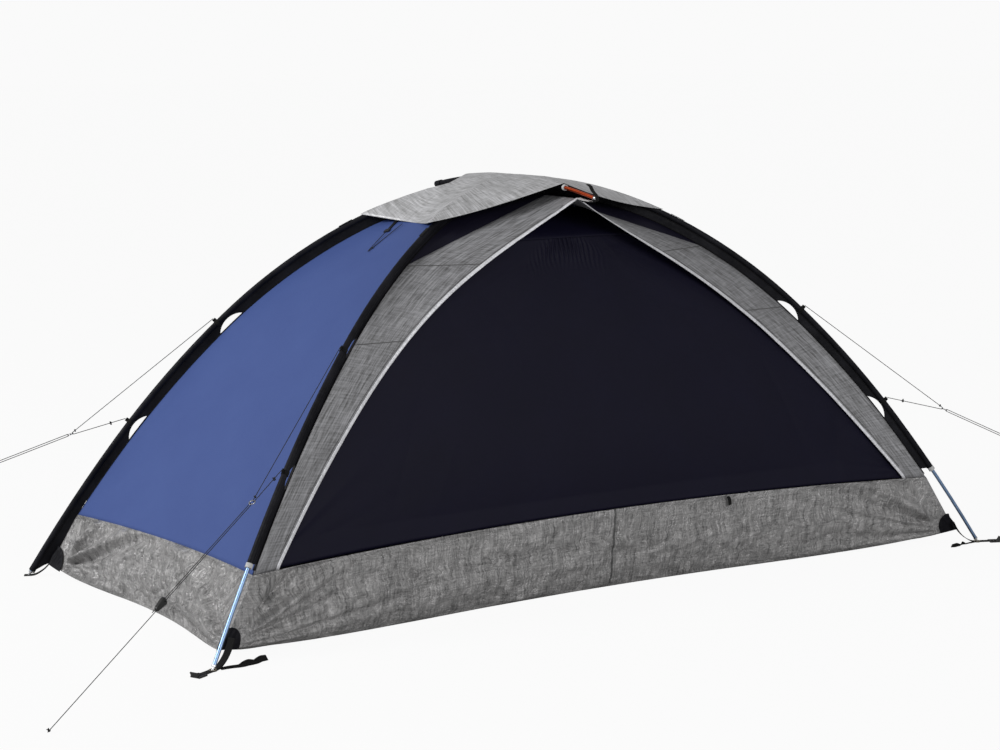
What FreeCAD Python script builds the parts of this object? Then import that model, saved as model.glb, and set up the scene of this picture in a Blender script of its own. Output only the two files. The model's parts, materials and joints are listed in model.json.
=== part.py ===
"""Dome tent, millimetres. +X runs along the tent, the door faces -Y, +Z is up.
The origin is on the ground at the centre of the four pole feet.
Two long poles cross at the crown, a short ridge pole lies over them, and every panel hangs from pole sleeves."""

import FreeCAD, Part
import math
import os

from FreeCAD import Vector

os.makedirs("parts", exist_ok=True)

# ---- driving dimensions ----
FOOT_X, FOOT_Y = 1147.0, 546.0      # pole feet, from the centre
CROWN_Z = 995.0                     # mean height of the two crossing poles' centrelines
POLE_STEP = 10.0                    # height from one crossing pole to the next above it
TURNS = (25.0, 16.0, 9.0, 5.4)      # how much each of a leg's four tubes bends, from the crown down
POLE_R, POLE_BORE = 4.5, 3.9        # pole tube, outer and inner radius
FERRULE_R, FERRULE_BORE, FERRULE_HALF = 3.8, 3.2, 30.0
SHOCK_CORD_R = 1.25
TIP_LENGTH = 16.0                   # from the ground to the end of the last tube
SEAM_GAP = 24.0                     # from the poles' mean centreline to the canopy seam below
RIDGE_GAP = 32.0                    # from the ridge pole to the seam below it
SLEEVE_R, SLEEVE_BORE, WEB_HALF = 7.5, 5.4, 0.6
SLEEVE_TOP, SLEEVE_FOOT_Z = 75.0, 214.0
CLOTH = 1.0                         # thickness of every cloth panel
SKIN = 0.3                          # least gap between neighbouring panels
TUB_Z, TUB_RISE = 185.0, 20.0       # the long tub seams' height at the corners, and their rise at mid side
END_SEAM_FRONT_Z, END_SEAM_BACK_Z, END_SEAM_RISE = 208.0, 158.0, 5.0   # the same for the two end seams
FLOOR_X, FLOOR_Y, CORNER_Z = 1100.0, 502.0, 34.0
FLOOR_BOW_X, FLOOR_BOW_Y = 70.0, 112.0   # how far the floor edges curve in
SIDE_BOW, END_BOW = 55.0, 20.0      # how far the tub seam curves in
RIDGE_END, RIDGE_Z, RIDGE_SAG = 372.0, 1010.0, 34.0
RIDGE_SLEEVE = 235.0                # the ridge sleeve ends here, and the bare ridge pole shows beyond
AWNING_BACK, AWNING_TIP = 150.0, 297.8   # along the ridge, where the grey awning starts and ends
AWNING_TIP_Z = 971.1
AWNING_JOIN_Z = 825.0               # the awning leaves the leg seam at this height
CAP_Z, CAP_LIFT = 905.0, 10.5       # pole height at the roof cap's corners, and the cap's lift over a pole
HINGE_Z = 250.0                     # the unzipped door folds about a line at this height
DOOR_TOP_Z, DOOR_OVERLAP, DOOR_BOW = 875.0, 18.0, 45.0
CORD_R = 0.9                        # guyline
RING_R, RING_WIRE = 7.0, 1.25

# the flap's free edge, a cubic from the tub seam to the awning's tip (x, y, z)
HEM = ((941.6, 468.6, 188.3), (480.9, 272.2, 778.8), (273.0, 260.2, 797.5), (0.0, AWNING_TIP, AWNING_TIP_Z))

REACH = math.hypot(FOOT_X, FOOT_Y)
ALONG, ACROSS = FOOT_X / REACH, FOOT_Y / REACH
CORNERS = {"front_left": (-1, -1), "front_right": (1, -1), "back_left": (-1, 1), "back_right": (1, 1)}


def save(name, *solids):
    """One file for each node. A node of several pieces holds them as separate solids."""
    flat = [s for shape in solids for s in shape.Solids]
    for solid in flat:
        if not solid.isValid() or solid.Volume <= 0:
            raise ValueError(f"{name} has a bad solid")
    shape = flat[0] if len(flat) == 1 else Part.makeCompound(flat)
    shape.exportStep(f"parts/{name}.step")


def mirrored(shape, axis):
    """The shape's image in the plane through the origin across axis."""
    return shape.mirror(Vector(0, 0, 0), axis)


X_AXIS, Y_AXIS, Z_AXIS = Vector(1, 0, 0), Vector(0, 1, 0), Vector(0, 0, 1)


# ---- poles: planar curves of tangent arcs, one arc for each tube ----
def leg_arcs(crown):
    """(centre u, centre z, radius, first heading, last heading) of a leg's tubes, and their common length.
    The bends keep the proportions of TURNS, and are scaled until the leg falls from crown to the foot."""

    def reach_and_drop(scale):
        heading = reach = drop = 0.0
        for turn in TURNS:
            step = math.radians(turn) * scale
            reach += (math.sin(heading + step) - math.sin(heading)) / step
            drop += (math.cos(heading) - math.cos(heading + step)) / step
            heading += step
        return reach, drop

    low, high = 0.5, 1.5
    for _ in range(60):
        middle = (low + high) / 2
        reach, drop = reach_and_drop(middle)
        if drop / reach < crown / REACH:
            low = middle
        else:
            high = middle
    length = REACH / reach
    arcs, heading, u, z = [], 0.0, 0.0, crown
    for turn in TURNS:
        step = math.radians(turn) * middle
        radius = length / step
        cu, cz = u - radius * math.sin(heading), z - radius * math.cos(heading)
        arcs.append((cu, cz, radius, heading, heading + step))
        heading += step
        u, z = cu + radius * math.sin(heading), cz + radius * math.cos(heading)
    return arcs, length


class Leg:
    """Half of a long pole, from the crown to its foot. s is the length along it from the crown."""

    def __init__(self, corner, crown):
        self.sx, self.sy = CORNERS[corner]
        self.arcs, self.tube = leg_arcs(crown)
        self.length = self.tube * len(TURNS)
        self.out = Vector(self.sx * ALONG, self.sy * ACROSS, 0)
        self.side = Z_AXIS.cross(self.out)

    def place(self, u, z, b=0.0):
        """A point in the leg's own upright plane, or b beside it."""
        return self.out * u + Z_AXIS * z + self.side * b

    def arc_at(self, s):
        i = min(int(s / self.tube), len(TURNS) - 1)
        cu, cz, radius, first, _ = self.arcs[i]
        return cu, cz, radius, first + (s - i * self.tube) / radius

    def at(self, s, inward=0.0, b=0.0):
        cu, cz, radius, heading = self.arc_at(s)
        reach = radius - inward
        return self.place(cu + reach * math.sin(heading), cz + reach * math.cos(heading), b)

    def along(self, s):
        heading = self.arc_at(s)[3]
        return self.out * math.cos(heading) - Z_AXIS * math.sin(heading)

    def away(self, s):
        heading = self.arc_at(s)[3]
        return self.out * math.sin(heading) + Z_AXIS * math.cos(heading)

    def s_at_height(self, z, inward=0.0):
        low, high = 0.0, self.length
        for _ in range(50):
            middle = (low + high) / 2
            if self.at(middle, inward).z > z:
                low = middle
            else:
                high = middle
        return low

    def sweep(self, first, last, section):
        """A solid of one section carried from s=first to s=last. section(point, away, side) gives a face."""
        pieces = []
        for i, (cu, cz, radius, _, _) in enumerate(self.arcs):
            start, end = max(first, i * self.tube), min(last, (i + 1) * self.tube)
            if end - start < 0.01:
                continue
            face = section(self.at(start + 1e-6), self.away(start + 1e-6), self.side)
            angle = math.degrees((end - start) / radius)
            pieces.append(face.revolve(self.place(cu, cz), self.side, angle))
        solid = pieces[0]
        for piece in pieces[1:]:
            solid = solid.fuse(piece)
        return solid.removeSplitter() if len(pieces) > 1 else solid


def ring_section(outer, inner=0.0):
    """A section for sweep: a disc, or a ring round the centreline."""

    def section(point, away, side):
        direction = away.cross(side)
        wires = [Part.Wire(Part.makeCircle(outer, point, direction))]
        if inner > 0:
            wires.append(Part.Wire(Part.makeCircle(inner, point, direction * -1)))
        return Part.Face(wires)

    return section


def bar_section(near, far, half):
    """A section for sweep: a flat bar from near to far away from the centreline, inward, and half each side."""

    def section(point, away, side):
        a, b = point - away * near, point - away * far
        wide = side * half
        return Part.Face(Part.makePolygon([a - wide, a + wide, b + wide, b - wide, a - wide]))

    return section


LEGS = {}
for corner_name in CORNERS:
    lower_pole = corner_name in ("front_left", "back_right")
    LEGS[corner_name] = Leg(corner_name, CROWN_Z - POLE_STEP / 2 if lower_pole else CROWN_Z + POLE_STEP / 2)
SEAM = Leg("front_right", CROWN_Z)          # the mean leg, whose seam line every panel shares
POLES = {"a": ("front_left", "back_right"), "b": ("back_left", "front_right")}


def tube_ends(leg):
    """(first, last) of each of a leg's tubes. The last one stops where the tip's collar starts."""
    ends = [(i * leg.tube, (i + 1) * leg.tube) for i in range(len(TURNS))]
    ends[-1] = (ends[-1][0], leg.length - TIP_LENGTH)
    return ends


def pole_tubes(leg):
    return [leg.sweep(first + 0.05, last - 0.05, ring_section(POLE_R, POLE_BORE)) for first, last in tube_ends(leg)]


def crossing_ferrule(leg, other):
    """The ferrule at the crown, half in each leg."""
    halves = [x.sweep(0, FERRULE_HALF, ring_section(FERRULE_R, FERRULE_BORE)) for x in (leg, other)]
    return halves[0].fuse(halves[1]).removeSplitter()


def ferrules(leg):
    found = []
    for i in range(1, len(TURNS)):
        middle = i * leg.tube
        found.append(leg.sweep(middle - FERRULE_HALF, middle + FERRULE_HALF, ring_section(FERRULE_R, FERRULE_BORE)))
    return found


def shock_cord(leg, other):
    reach = leg.length - TIP_LENGTH - 32
    halves = [x.sweep(0, reach, ring_section(SHOCK_CORD_R)) for x in (leg, other)]
    return halves[0].fuse(halves[1]).removeSplitter()


def pole_tip(leg):
    """A turned tip: a plug inside the tube, a collar, and a round-ended pin that stands in the grommet."""
    down, across, pin_r = leg.along(leg.length - 1e-6), leg.away(leg.length - 1e-6), 2.6
    end = leg.place(REACH, 0)
    round_centre = pin_r / -down.z

    def point(radius, height):
        """A point on the profile, height up the pole from the ground."""
        return end - down * height + across * radius

    outline = [(pin_r, round_centre), (pin_r, 12), (5.2, 12), (5.2, 15.95), (3.65, 15.95), (3.65, 43), (0, 43)]
    outline = [point(*p) for p in outline]
    tip = point(0, round_centre - pin_r)
    bend = point(pin_r * math.sqrt(0.5), round_centre - pin_r * math.sqrt(0.5))
    edges = [Part.Arc(tip, bend, outline[0]).toShape()]
    edges += [Part.LineSegment(p, q).toShape() for p, q in zip(outline, outline[1:] + [tip])]
    return Part.Face(Part.Wire(edges)).revolve(end, down, 360)


all_ferrules = []
for name, (one, two) in POLES.items():
    for end in (one, two):
        save(f"pole_{name}_tubes_{end}", *pole_tubes(LEGS[end]))
    save(f"pole_{name}_shock_cord", shock_cord(LEGS[one], LEGS[two]))
    all_ferrules += [crossing_ferrule(LEGS[one], LEGS[two]), *ferrules(LEGS[one]), *ferrules(LEGS[two])]
save("pole_ferrules", *all_ferrules)
save("pole_tips", *[pole_tip(leg) for leg in LEGS.values()])


# ---- sleeves ----
GUY_UPPER_Z, GUY_LOWER_Z = 648.0, 396.0     # where the guylines tie to each leg
POCKET_TIP = 18.0                           # from the end of a back sleeve to the pole's foot
POCKET_EDGE = ((1195.0, 40.0), (1228.0, 28.0))   # the back sleeves' lower corners, out from the centre and up
LENS_HALF, LENS_NEAR, LENS_FAR = 39.0, 9.5, 30.0
UPPER_LENS_SHIFT = 25.0                     # the upper opening lies this far above its tie


def lens(leg, s):
    """The half-leaf opening in a sleeve's web, along the seam, where a guyline ties on."""
    ends = leg.at(s - LENS_HALF, SEAM_GAP), leg.at(s + LENS_HALF, SEAM_GAP)
    outer = Part.Arc(ends[0], leg.at(s, LENS_NEAR), ends[1]).toShape()
    inner = Part.Arc(ends[1], leg.at(s, LENS_FAR), ends[0]).toShape()
    face = Part.Face(Part.Wire([outer, inner]))
    face.translate(leg.side * -4)
    return face.extrude(leg.side * 8)


def sleeve_web(leg, corner, foot):
    """The upright plate of cloth between a sleeve's tube and the canopy seam.
    On a back leg it runs down to the foot, beside the tub's corner."""
    mean = Leg(corner, CROWN_Z)
    first, steps, edge = SLEEVE_TOP, 57, SEAM_GAP - CLOTH - SKIN - 0.3
    pocketed = leg.sy > 0
    last = foot - (6 if pocketed else 3)
    near = [leg.at(first + 1.5 + (last - first) * k / steps, SLEEVE_R + SKIN) for k in range(steps + 1)]
    low = mean.s_at_height(TUB_Z + 5 if pocketed else near[-1].z, SEAM_GAP) + 2
    far = [mean.at(first + 1.5 + (low - first) * k / steps, edge) for k in range(steps + 1)]
    if pocketed:
        far += [leg.place(u, z) for u, z in POCKET_EDGE]
    ring = near + far[::-1]
    ring = [p - leg.side * WEB_HALF for p in ring]
    return Part.Face(Part.makePolygon(ring + ring[:1])).extrude(leg.side * 2 * WEB_HALF)


def sleeve_foot(leg):
    """Where a sleeve ends: at its pale band on a front leg, and just above the pole's tip on a back one."""
    return leg.length - POCKET_TIP if leg.sy > 0 else leg.s_at_height(SLEEVE_FOOT_Z)


def pole_sleeve(leg, corner):
    """A cloth tube round the pole, and the web under it down to the canopy seam, open at both guyline ties."""
    foot = sleeve_foot(leg)
    tube = leg.sweep(SLEEVE_TOP, foot, ring_section(SLEEVE_R, SLEEVE_BORE))
    web = sleeve_web(leg, corner, foot)
    for height, shift in ((GUY_UPPER_Z, UPPER_LENS_SHIFT), (GUY_LOWER_Z, 0)):
        web = web.cut(lens(leg, leg.s_at_height(height) - shift))
    return tube, web


def sleeve_end_band(leg):
    foot = leg.s_at_height(SLEEVE_FOOT_Z)
    return leg.sweep(foot + SKIN, foot + 11, ring_section(8.4, SLEEVE_BORE))


def guy_loop(leg, height):
    """A webbing ring round the sleeve, with a tab that the bridle cord ties to."""
    s = leg.s_at_height(height)
    ring = leg.sweep(s - 5, s + 5, ring_section(SLEEVE_R + 1.5, SLEEVE_R + SKIN))
    tab = leg.sweep(s - 5, s + 5, bar_section(-SLEEVE_R - 1.0, -SLEEVE_R - 7.0, 0.8))
    web_slot = leg.sweep(s - 7, s + 7, bar_section(SLEEVE_R - 2, SLEEVE_R + 4, WEB_HALF + 0.5))
    return ring.fuse(tab).cut(web_slot)


for corner_name, leg in LEGS.items():
    save(f"pole_sleeve_{corner_name}", *pole_sleeve(leg, corner_name))
save("guy_loops", *[guy_loop(leg, z) for leg in LEGS.values() for z in (GUY_UPPER_Z, GUY_LOWER_Z)])


# ---- ridge pole, one arc across the tent ----
RIDGE_R = (RIDGE_END ** 2 + RIDGE_SAG ** 2) / (2 * RIDGE_SAG)
RIDGE_CENTRE = Vector(0, 0, RIDGE_Z - RIDGE_R)
BALL_R = 6.5                        # the ridge pole's ball ends


def ridge_at(y, inward=0.0):
    """The ridge pole's centreline at y, or a point inward of it."""
    angle = math.asin(y / RIDGE_R)
    reach = RIDGE_R - inward
    return Vector(0, reach * math.sin(angle), RIDGE_CENTRE.z + reach * math.cos(angle))


def ridge_sweep(first, last, section):
    """A section carried along the ridge pole from y=first to y=last."""
    start, end = math.asin(first / RIDGE_R), math.asin(last / RIDGE_R)
    away = Vector(0, math.sin(start), math.cos(start))
    face = section(ridge_at(first), away, X_AXIS)
    return face.revolve(RIDGE_CENTRE, X_AXIS, -math.degrees(end - start))


def ball_tip(side):
    """A ball end with a plug that sits in the ridge pole."""
    end = ridge_at(side * RIDGE_END)
    inner = ridge_at(side * (RIDGE_END - 30))
    along = (inner - end).normalize()
    return Part.makeSphere(BALL_R, end).fuse(Part.makeCylinder(FERRULE_R - 0.2, 28, end, along)).removeSplitter()


def ridge_tube(side):
    low, high = sorted((side * 0.05, side * (RIDGE_END - 7.0)))
    return ridge_sweep(low, high, ring_section(POLE_R, POLE_BORE))


def tip_webbing():
    """The strap on the awning's tip: it hooks round the front ball end, and its pull tab stands up over it."""
    wide = 5.0
    end = ridge_at(-RIDGE_END)

    def strip(points):
        """A strap 1.4 thick through (y, z) points."""
        top, bottom = [], []
        for i, (y, z) in enumerate(points):
            before, after = points[max(i - 1, 0)], points[min(i + 1, len(points) - 1)]
            ty, tz = after[0] - before[0], after[1] - before[1]
            size = math.hypot(ty, tz)
            ny, nz = -tz / size * 0.7, ty / size * 0.7
            top.append(Vector(-wide, y + ny, z + nz))
            bottom.append(Vector(-wide, y - ny, z - nz))
        ring = top + bottom[::-1]
        return Part.Face(Part.makePolygon(ring + ring[:1])).extrude(Vector(2 * wide, 0, 0))

    y, z = abs(end.y), end.z
    route = [(AWNING_TIP + 6, AWNING_TIP_Z + 0.5), (AWNING_TIP + 28, 965), (y - 6, z - 9.5), (y + 8.5, z - 5.5)]
    route += [(y + 8.5, z + 4), (y + 1, z + 9.5), (y - 12, z + 18), (y - 20, z + 28), (y - 32, z + 33)]
    return strip([(-v, w) for v, w in route])


def ridge_web(side):
    """The upright plate of cloth under the ridge sleeve, down to the ridge seam."""
    edge = RIDGE_GAP - CLOTH - SKIN - 0.3
    along = [34 + (AWNING_BACK - 34) * k / 12 for k in range(13)]
    ring = [ridge_at(side * y, SLEEVE_R - 1.9) for y in along] + [ridge_at(side * y, edge) for y in along[::-1]]
    ring = [p - X_AXIS * WEB_HALF for p in ring]
    return Part.Face(Part.makePolygon(ring + ring[:1])).extrude(X_AXIS * 2 * WEB_HALF)


def ridge_pocket():
    """The closed end of the ridge sleeve, over the back ball end."""
    first, last, skin = 16.0, 9.5, 1.0
    end = ridge_at(RIDGE_END)
    inner = ridge_at(RIDGE_END - first)
    along = (end - inner).normalize()
    shell = Part.makeCylinder(BALL_R + 2 * skin, first + last, inner, along)
    room = Part.makeCylinder(BALL_R + skin / 2, first + last - 2 * skin, inner + along * skin, along)
    mouth = Part.makeCylinder(SLEEVE_BORE, first, inner - along * skin, along)
    return shell.cut(room).cut(mouth)


save("ridge_pole_tubes", ridge_tube(-1), ridge_tube(1))
save("ridge_pole_ferrule", ridge_sweep(-FERRULE_HALF, FERRULE_HALF, ring_section(FERRULE_R, FERRULE_BORE)))
save("ridge_pole_shock_cord", ridge_sweep(34 - RIDGE_END, RIDGE_END - 34, ring_section(SHOCK_CORD_R)))
save("ridge_pole_ball_tips", ball_tip(-1), ball_tip(1))
save("ridge_tip_webbing", tip_webbing())
RIDGE_TUBE = ring_section(SLEEVE_R - 1, SLEEVE_BORE)
front_sleeve = ridge_sweep(-RIDGE_SLEEVE, -34, RIDGE_TUBE).fuse(ridge_web(-1))
back_sleeve = ridge_sweep(34, RIDGE_END - 16.5, RIDGE_TUBE).fuse(ridge_web(1))
save("ridge_sleeves", front_sleeve, back_sleeve, ridge_pocket())
ridge_band = ridge_sweep(-RIDGE_SLEEVE - 8, -RIDGE_SLEEVE - SKIN, ring_section(7.4, SLEEVE_BORE))
FRONT_LEGS = [leg for leg in LEGS.values() if leg.sy < 0]
save("sleeve_end_bands", *[sleeve_end_band(leg) for leg in FRONT_LEGS], ridge_band)


# ---- cloth panels: closed sheets between an inner surface and an outer one ----
def panel(rows, thickness=CLOTH, inside=Vector(0, 0, 300)):
    """A closed solid over a grid of points, thickened away from inside. Every row has the same number of points."""
    count = len(rows[0])

    def quads():
        for i in range(len(rows) - 1):
            for j in range(count - 1):
                yield (i, j), (i + 1, j), (i + 1, j + 1), (i, j + 1)

    normals = {}
    for corners in quads():
        a, b, c, d = (rows[i][j] for i, j in corners)
        normal = (c - a).cross(d - b)
        for key in corners:
            normals[key] = normals.get(key, Vector(0, 0, 0)) + normal
    lean = sum(n.normalize().dot(rows[i][j] - inside) for (i, j), n in normals.items())
    sign = thickness if lean > 0 else -thickness
    outer = {key: rows[key[0]][key[1]] + n * sign for key, n in normals.items()}
    inner = {key: rows[key[0]][key[1]] for key in normals}
    faces = []

    def add(a, b, c):
        if (b - a).cross(c - a).Length > 1e-6:
            faces.append(Part.Face(Part.makePolygon([a, b, c, a])))

    for a, b, c, d in quads():
        for layer in (inner, outer):
            add(layer[a], layer[b], layer[c])
            add(layer[a], layer[c], layer[d])
    last_i, last_j = len(rows) - 1, count - 1
    rim = [(i, 0) for i in range(last_i)] + [(last_i, j) for j in range(last_j)]
    rim += [(i, last_j) for i in range(last_i, 0, -1)] + [(0, j) for j in range(last_j, 0, -1)]
    for key, after in zip(rim, rim[1:] + rim[:1]):
        add(inner[key], inner[after], outer[after])
        add(inner[key], outer[after], outer[key])
    shell = Part.makeShell(faces)
    shell.sewShape()
    solid = Part.makeSolid(shell)
    if solid.Volume < 0:
        solid.reverse()
    return solid


def spread(first, last, count):
    """count + 1 numbers from first to last, evenly spaced."""
    return [first + (last - first) * i / count for i in range(count + 1)]


def mix(a, b, share):
    return a + (b - a) * share


def seam_at(z):
    """The canopy seam under the front right leg, at height z: (x, y), both positive."""
    point = SEAM.at(SEAM.s_at_height(z, SEAM_GAP), SEAM_GAP)
    return point.x, -point.y


def hem_at(t):
    """The flap's free edge on the right: t from 0 at the tub seam to 1 at the awning's tip."""
    weights = ((1 - t) ** 3, 3 * t * (1 - t) ** 2, 3 * t * t * (1 - t), t ** 3)
    x, y, z = (sum(w * p[k] for w, p in zip(weights, HEM)) for k in range(3))
    return x, y, z


def hem_at_height(z):
    low, high = 0.0, 0.93
    for _ in range(40):
        middle = (low + high) / 2
        if hem_at(middle)[2] < z:
            low = middle
        else:
            high = middle
    return hem_at(low)


TUB_X, TUB_Y = seam_at(TUB_Z)
WALL_TOP_S = 12.0                   # the end walls stop this far down each leg from the crown


def side_seam(t):
    """The tub's top seam along the front, t from -1 to 1."""
    return Vector(TUB_X * t, -(TUB_Y - SIDE_BOW * (1 - t * t)), TUB_Z + TUB_RISE * (1 - t * t))


def side_foot(t):
    return Vector(FLOOR_X * t, -(FLOOR_Y - FLOOR_BOW_Y * (1 - t * t)), CORNER_Z * abs(t) ** 5)


def end_wall_point(s, t):
    """A point of the left end's blue wall: s is the leg's length from the crown, t from -1 in front to 1."""
    p = SEAM.at(s, SEAM_GAP)
    bow = END_BOW * (s - WALL_TOP_S) / (SEAM.s_at_height(TUB_Z, SEAM_GAP) - WALL_TOP_S)
    return Vector(-(p.x - bow * (1 - t * t)), -p.y * t, p.z)


def end_seam(t):
    """The tub's top seam along the left end, which is lower at the back."""
    z = mix(END_SEAM_FRONT_Z, END_SEAM_BACK_Z, (1 + t) / 2)
    return end_wall_point(SEAM.s_at_height(z, SEAM_GAP), t) + Z_AXIS * END_SEAM_RISE * (1 - t * t)


def end_foot(t):
    return Vector(-(FLOOR_X - FLOOR_BOW_X * (1 - t * t)), FLOOR_Y * t, CORNER_Z * abs(t) ** 5)


def tub_wall(foot, seam, reach):
    """A tub wall from floor to seam, reach of the way to each corner."""
    rows = []
    for share in (0, 0.5, 1):
        rows.append([mix(foot(t), seam(t), share) - Z_AXIS * SKIN * share for t in spread(-reach, reach, 20)])
    return panel(rows)


tub_front = tub_wall(side_foot, side_seam, 1.0)
tub_left = tub_wall(end_foot, end_seam, 0.997)
save("tub_wall_front", tub_front)
save("tub_wall_back", mirrored(tub_front, Y_AXIS))
save("tub_wall_left", tub_left)
save("tub_wall_right", mirrored(tub_left, X_AXIS))


def floor():
    """The groundsheet: a flat sheet with four curved edges, its raised corners left to the tub and patches."""
    trim = 2.0
    outline = []
    for foot in (side_foot, end_foot):
        points = [foot(t) for t in spread(-0.93, 0.93, 24)]
        outline.append([Vector(p.x, p.y, 0) for p in points])
    front, left = outline
    back = [Vector(-p.x, -p.y, 0) for p in front]
    right = [Vector(-p.x, -p.y, 0) for p in left]
    ordered = sorted(front + right + back + left, key=lambda p: math.atan2(p.y, p.x))
    inset = [p * (1 - trim / p.Length) for p in ordered]
    return Part.Face(Part.makePolygon(inset + inset[:1])).extrude(Vector(0, 0, CLOTH))


save("floor", floor())


# ---- end walls ----
def end_wall():
    """The blue panel between the two legs of the left end, from the tub seam up to the crown."""
    columns = spread(-0.998, 0.998, 10)
    first = [SEAM.s_at_height(mix(END_SEAM_FRONT_Z, END_SEAM_BACK_Z, (1 + t) / 2), SEAM_GAP) for t in columns]
    rows = [[end_seam(t) + Z_AXIS * SKIN for t in columns]]
    for share in spread(0, 1, 20)[1:]:
        rows.append([end_wall_point(mix(s, WALL_TOP_S, share), t) + Z_AXIS * SKIN for s, t in zip(first, columns)])
    return panel(rows)


left_wall = end_wall()
save("end_wall_left", left_wall)
save("end_wall_right", mirrored(left_wall, X_AXIS))


# ---- front and back: flaps, awning, door ----
def awning_edge(share):
    """The line where the awning's dark and grey cloth meet: from the leg seam to the ridge."""
    x, y = seam_at(AWNING_JOIN_Z)
    return mix(Vector(x, -y, AWNING_JOIN_Z), Vector(0.9, -AWNING_BACK, ridge_at(AWNING_BACK, RIDGE_GAP).z), share)


def flap(side):
    """The grey band from the leg seam to its free edge over the door, running up into the awning."""
    join = 0.0
    while hem_at(join)[2] < AWNING_JOIN_Z:
        join += 0.001
    rows = []
    for t in spread(0.0, 1.0, 32):
        x, y, z = hem_at(t)
        inner = Vector(max(x, 0.9), -y, z)
        if t < join:
            sx, sy = seam_at(max(z, TUB_Z) + SKIN)
            outer = Vector(sx - SKIN, -sy, max(z, TUB_Z) + SKIN)
        else:
            outer = awning_edge((t - join) / (1 - join))
        row = [mix(outer, inner, share) for share in spread(0.01, 1, 4)]
        rows.append([Vector(side * p.x, p.y, p.z) for p in row])
    return panel(rows)


def shoulder(side):
    """The dark cloth above the flap: between the leg seam, the ridge seam and the awning's grey edge."""
    first, last = SEAM.s_at_height(AWNING_JOIN_Z + 8, SEAM_GAP), 30.0
    rows = []
    for share in spread(0.04, 1, 14):
        leg_side = SEAM.at(mix(first, last, share), SEAM_GAP)
        edge = awning_edge(share)
        row = [mix(leg_side, edge, part) for part in spread(0.01, 0.985, 4)]
        rows.append([Vector(side * max(q.x, 0.9), q.y, q.z) for q in row])
    return panel(rows)


def door_depth(share, z):
    """How far forward of the centre the door's cloth hangs at height z, share of the way from centre to hem."""
    hem_y = hem_at_height(min(z, 880.0))[1]
    bow = DOOR_BOW * max(0.0, (450.0 - z) / 250.0) ** 2
    recess = 9.0 + 50.0 * max(0.0, (z - 600.0) / 275.0) ** 2
    return hem_y - bow * (1 - share * share) - recess


def door_rows(heights):
    rows = []
    for z in heights:
        half = hem_at_height(z)[0] + DOOR_OVERLAP
        rows.append([Vector(half * t, -door_depth(t, z), z) for t in spread(-1, 1, 16)])
    return rows


def sill_rows():
    """The fixed strip between the tub seam and the door's fold line."""
    rows = []
    for share in (0.0, 0.5, 1.0):
        row = []
        for t in spread(-1, 1, 16):
            half = hem_at_height(HINGE_Z - 2)[0] + DOOR_OVERLAP
            top = Vector(half * t, -door_depth(t, HINGE_Z - 2), HINGE_Z - 2)
            seam = side_seam(t * 0.955)
            low = seam + Vector(0, 4.0 + 7.0 * t * t, SKIN + 2.0)
            row.append(mix(low, top, share))
        rows.append(row)
    return rows


def wall_top_rows():
    """The fixed cloth above the door, under the awning, up to the crown."""
    rows = []
    half = hem_at_height(DOOR_TOP_Z)[0] + DOOR_OVERLAP
    depth = door_depth(0.0, DOOR_TOP_Z)
    for share in spread(0, 1, 5):
        z = mix(DOOR_TOP_Z + 2, 935.0, share)
        y = mix(depth, 118.0, share)
        rows.append([Vector(mix(half, 150.0, share) * t, -y, z) for t in spread(-1, 1, 8)])
    return rows


door = panel(door_rows(spread(HINGE_Z, DOOR_TOP_Z, 18)))
sill = panel(sill_rows())
wall_top = panel(wall_top_rows())
save("front_door", door)
save("front_door_sill", sill)
save("front_wall_top", wall_top)
back_rows = sill_rows()[:-1] + door_rows(spread(HINGE_Z, DOOR_TOP_Z, 14)) + wall_top_rows()[1:]
back_grid = [row[:: (len(row) - 1) // 8] for row in back_rows]
save("back_wall", mirrored(panel(back_grid), Y_AXIS))
for side, word in ((-1, "left"), (1, "right")):
    band = flap(side)
    save(f"storm_flap_front_{word}", band)
    save(f"storm_flap_back_{word}", mirrored(band, Y_AXIS))
shoulders = [shoulder(-1), shoulder(1)]
save("awning_panels_front", *shoulders)
save("awning_panels_back", *[mirrored(s, Y_AXIS) for s in shoulders])


# ---- roof cap: six taut gores over the crown ----
def cap_corner(index):
    """The cap's corners, anticlockwise from the front right leg's, with the ridge ends at 2 and 5."""
    if index % 3 == 2:
        side = 1 if index == 2 else -1
        return Vector(0, side * RIDGE_SLEEVE, ridge_at(RIDGE_SLEEVE).z + CAP_LIFT)
    sx, sy = ((1, -1), (1, 1), None, (-1, 1), (-1, -1))[index]
    p = SEAM.at(SEAM.s_at_height(CAP_Z))
    return Vector(sx * p.x, -sy * p.y, p.z + CAP_LIFT + POLE_STEP / 2)


def cap_spoke(index, share):
    """A point on the cap over a pole, share of the way from the crown to the corner."""
    corner = cap_corner(index)
    flat = Vector(corner.x, corner.y, 0) * share
    if index % 3 == 2:
        z = ridge_at(flat.y).z + CAP_LIFT
    else:
        rise = RIDGE_Z + CAP_LIFT - (CROWN_Z + CAP_LIFT + POLE_STEP / 2)
        s = flat.Length
        pole = SEAM.at(s if s < 1 else min(s * 1.03, SEAM.length)).z
        z = pole + CAP_LIFT + POLE_STEP / 2 + rise * (1 - share) ** 2
    return Vector(flat.x, flat.y, z)


def roof_cap():
    rings = []
    for share in spread(0, 1, 10):
        ring = []
        for index in range(6):
            a, b = cap_spoke(index, share), cap_spoke((index + 1) % 6, share)
            end_side = index in (0, 3)
            bow = (0.17 if end_side else 0.06) * share
            sag = (14.0 if end_side else 7.0) * share
            for step in range(6):
                part = step / 6
                swell = 4 * part * (1 - part)
                p = mix(a, b, part)
                flat = 1 - bow * swell
                ring.append(Vector(p.x * flat, p.y * flat, p.z - sag * swell))
        rings.append(ring + ring[:1])
    return rings


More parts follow.
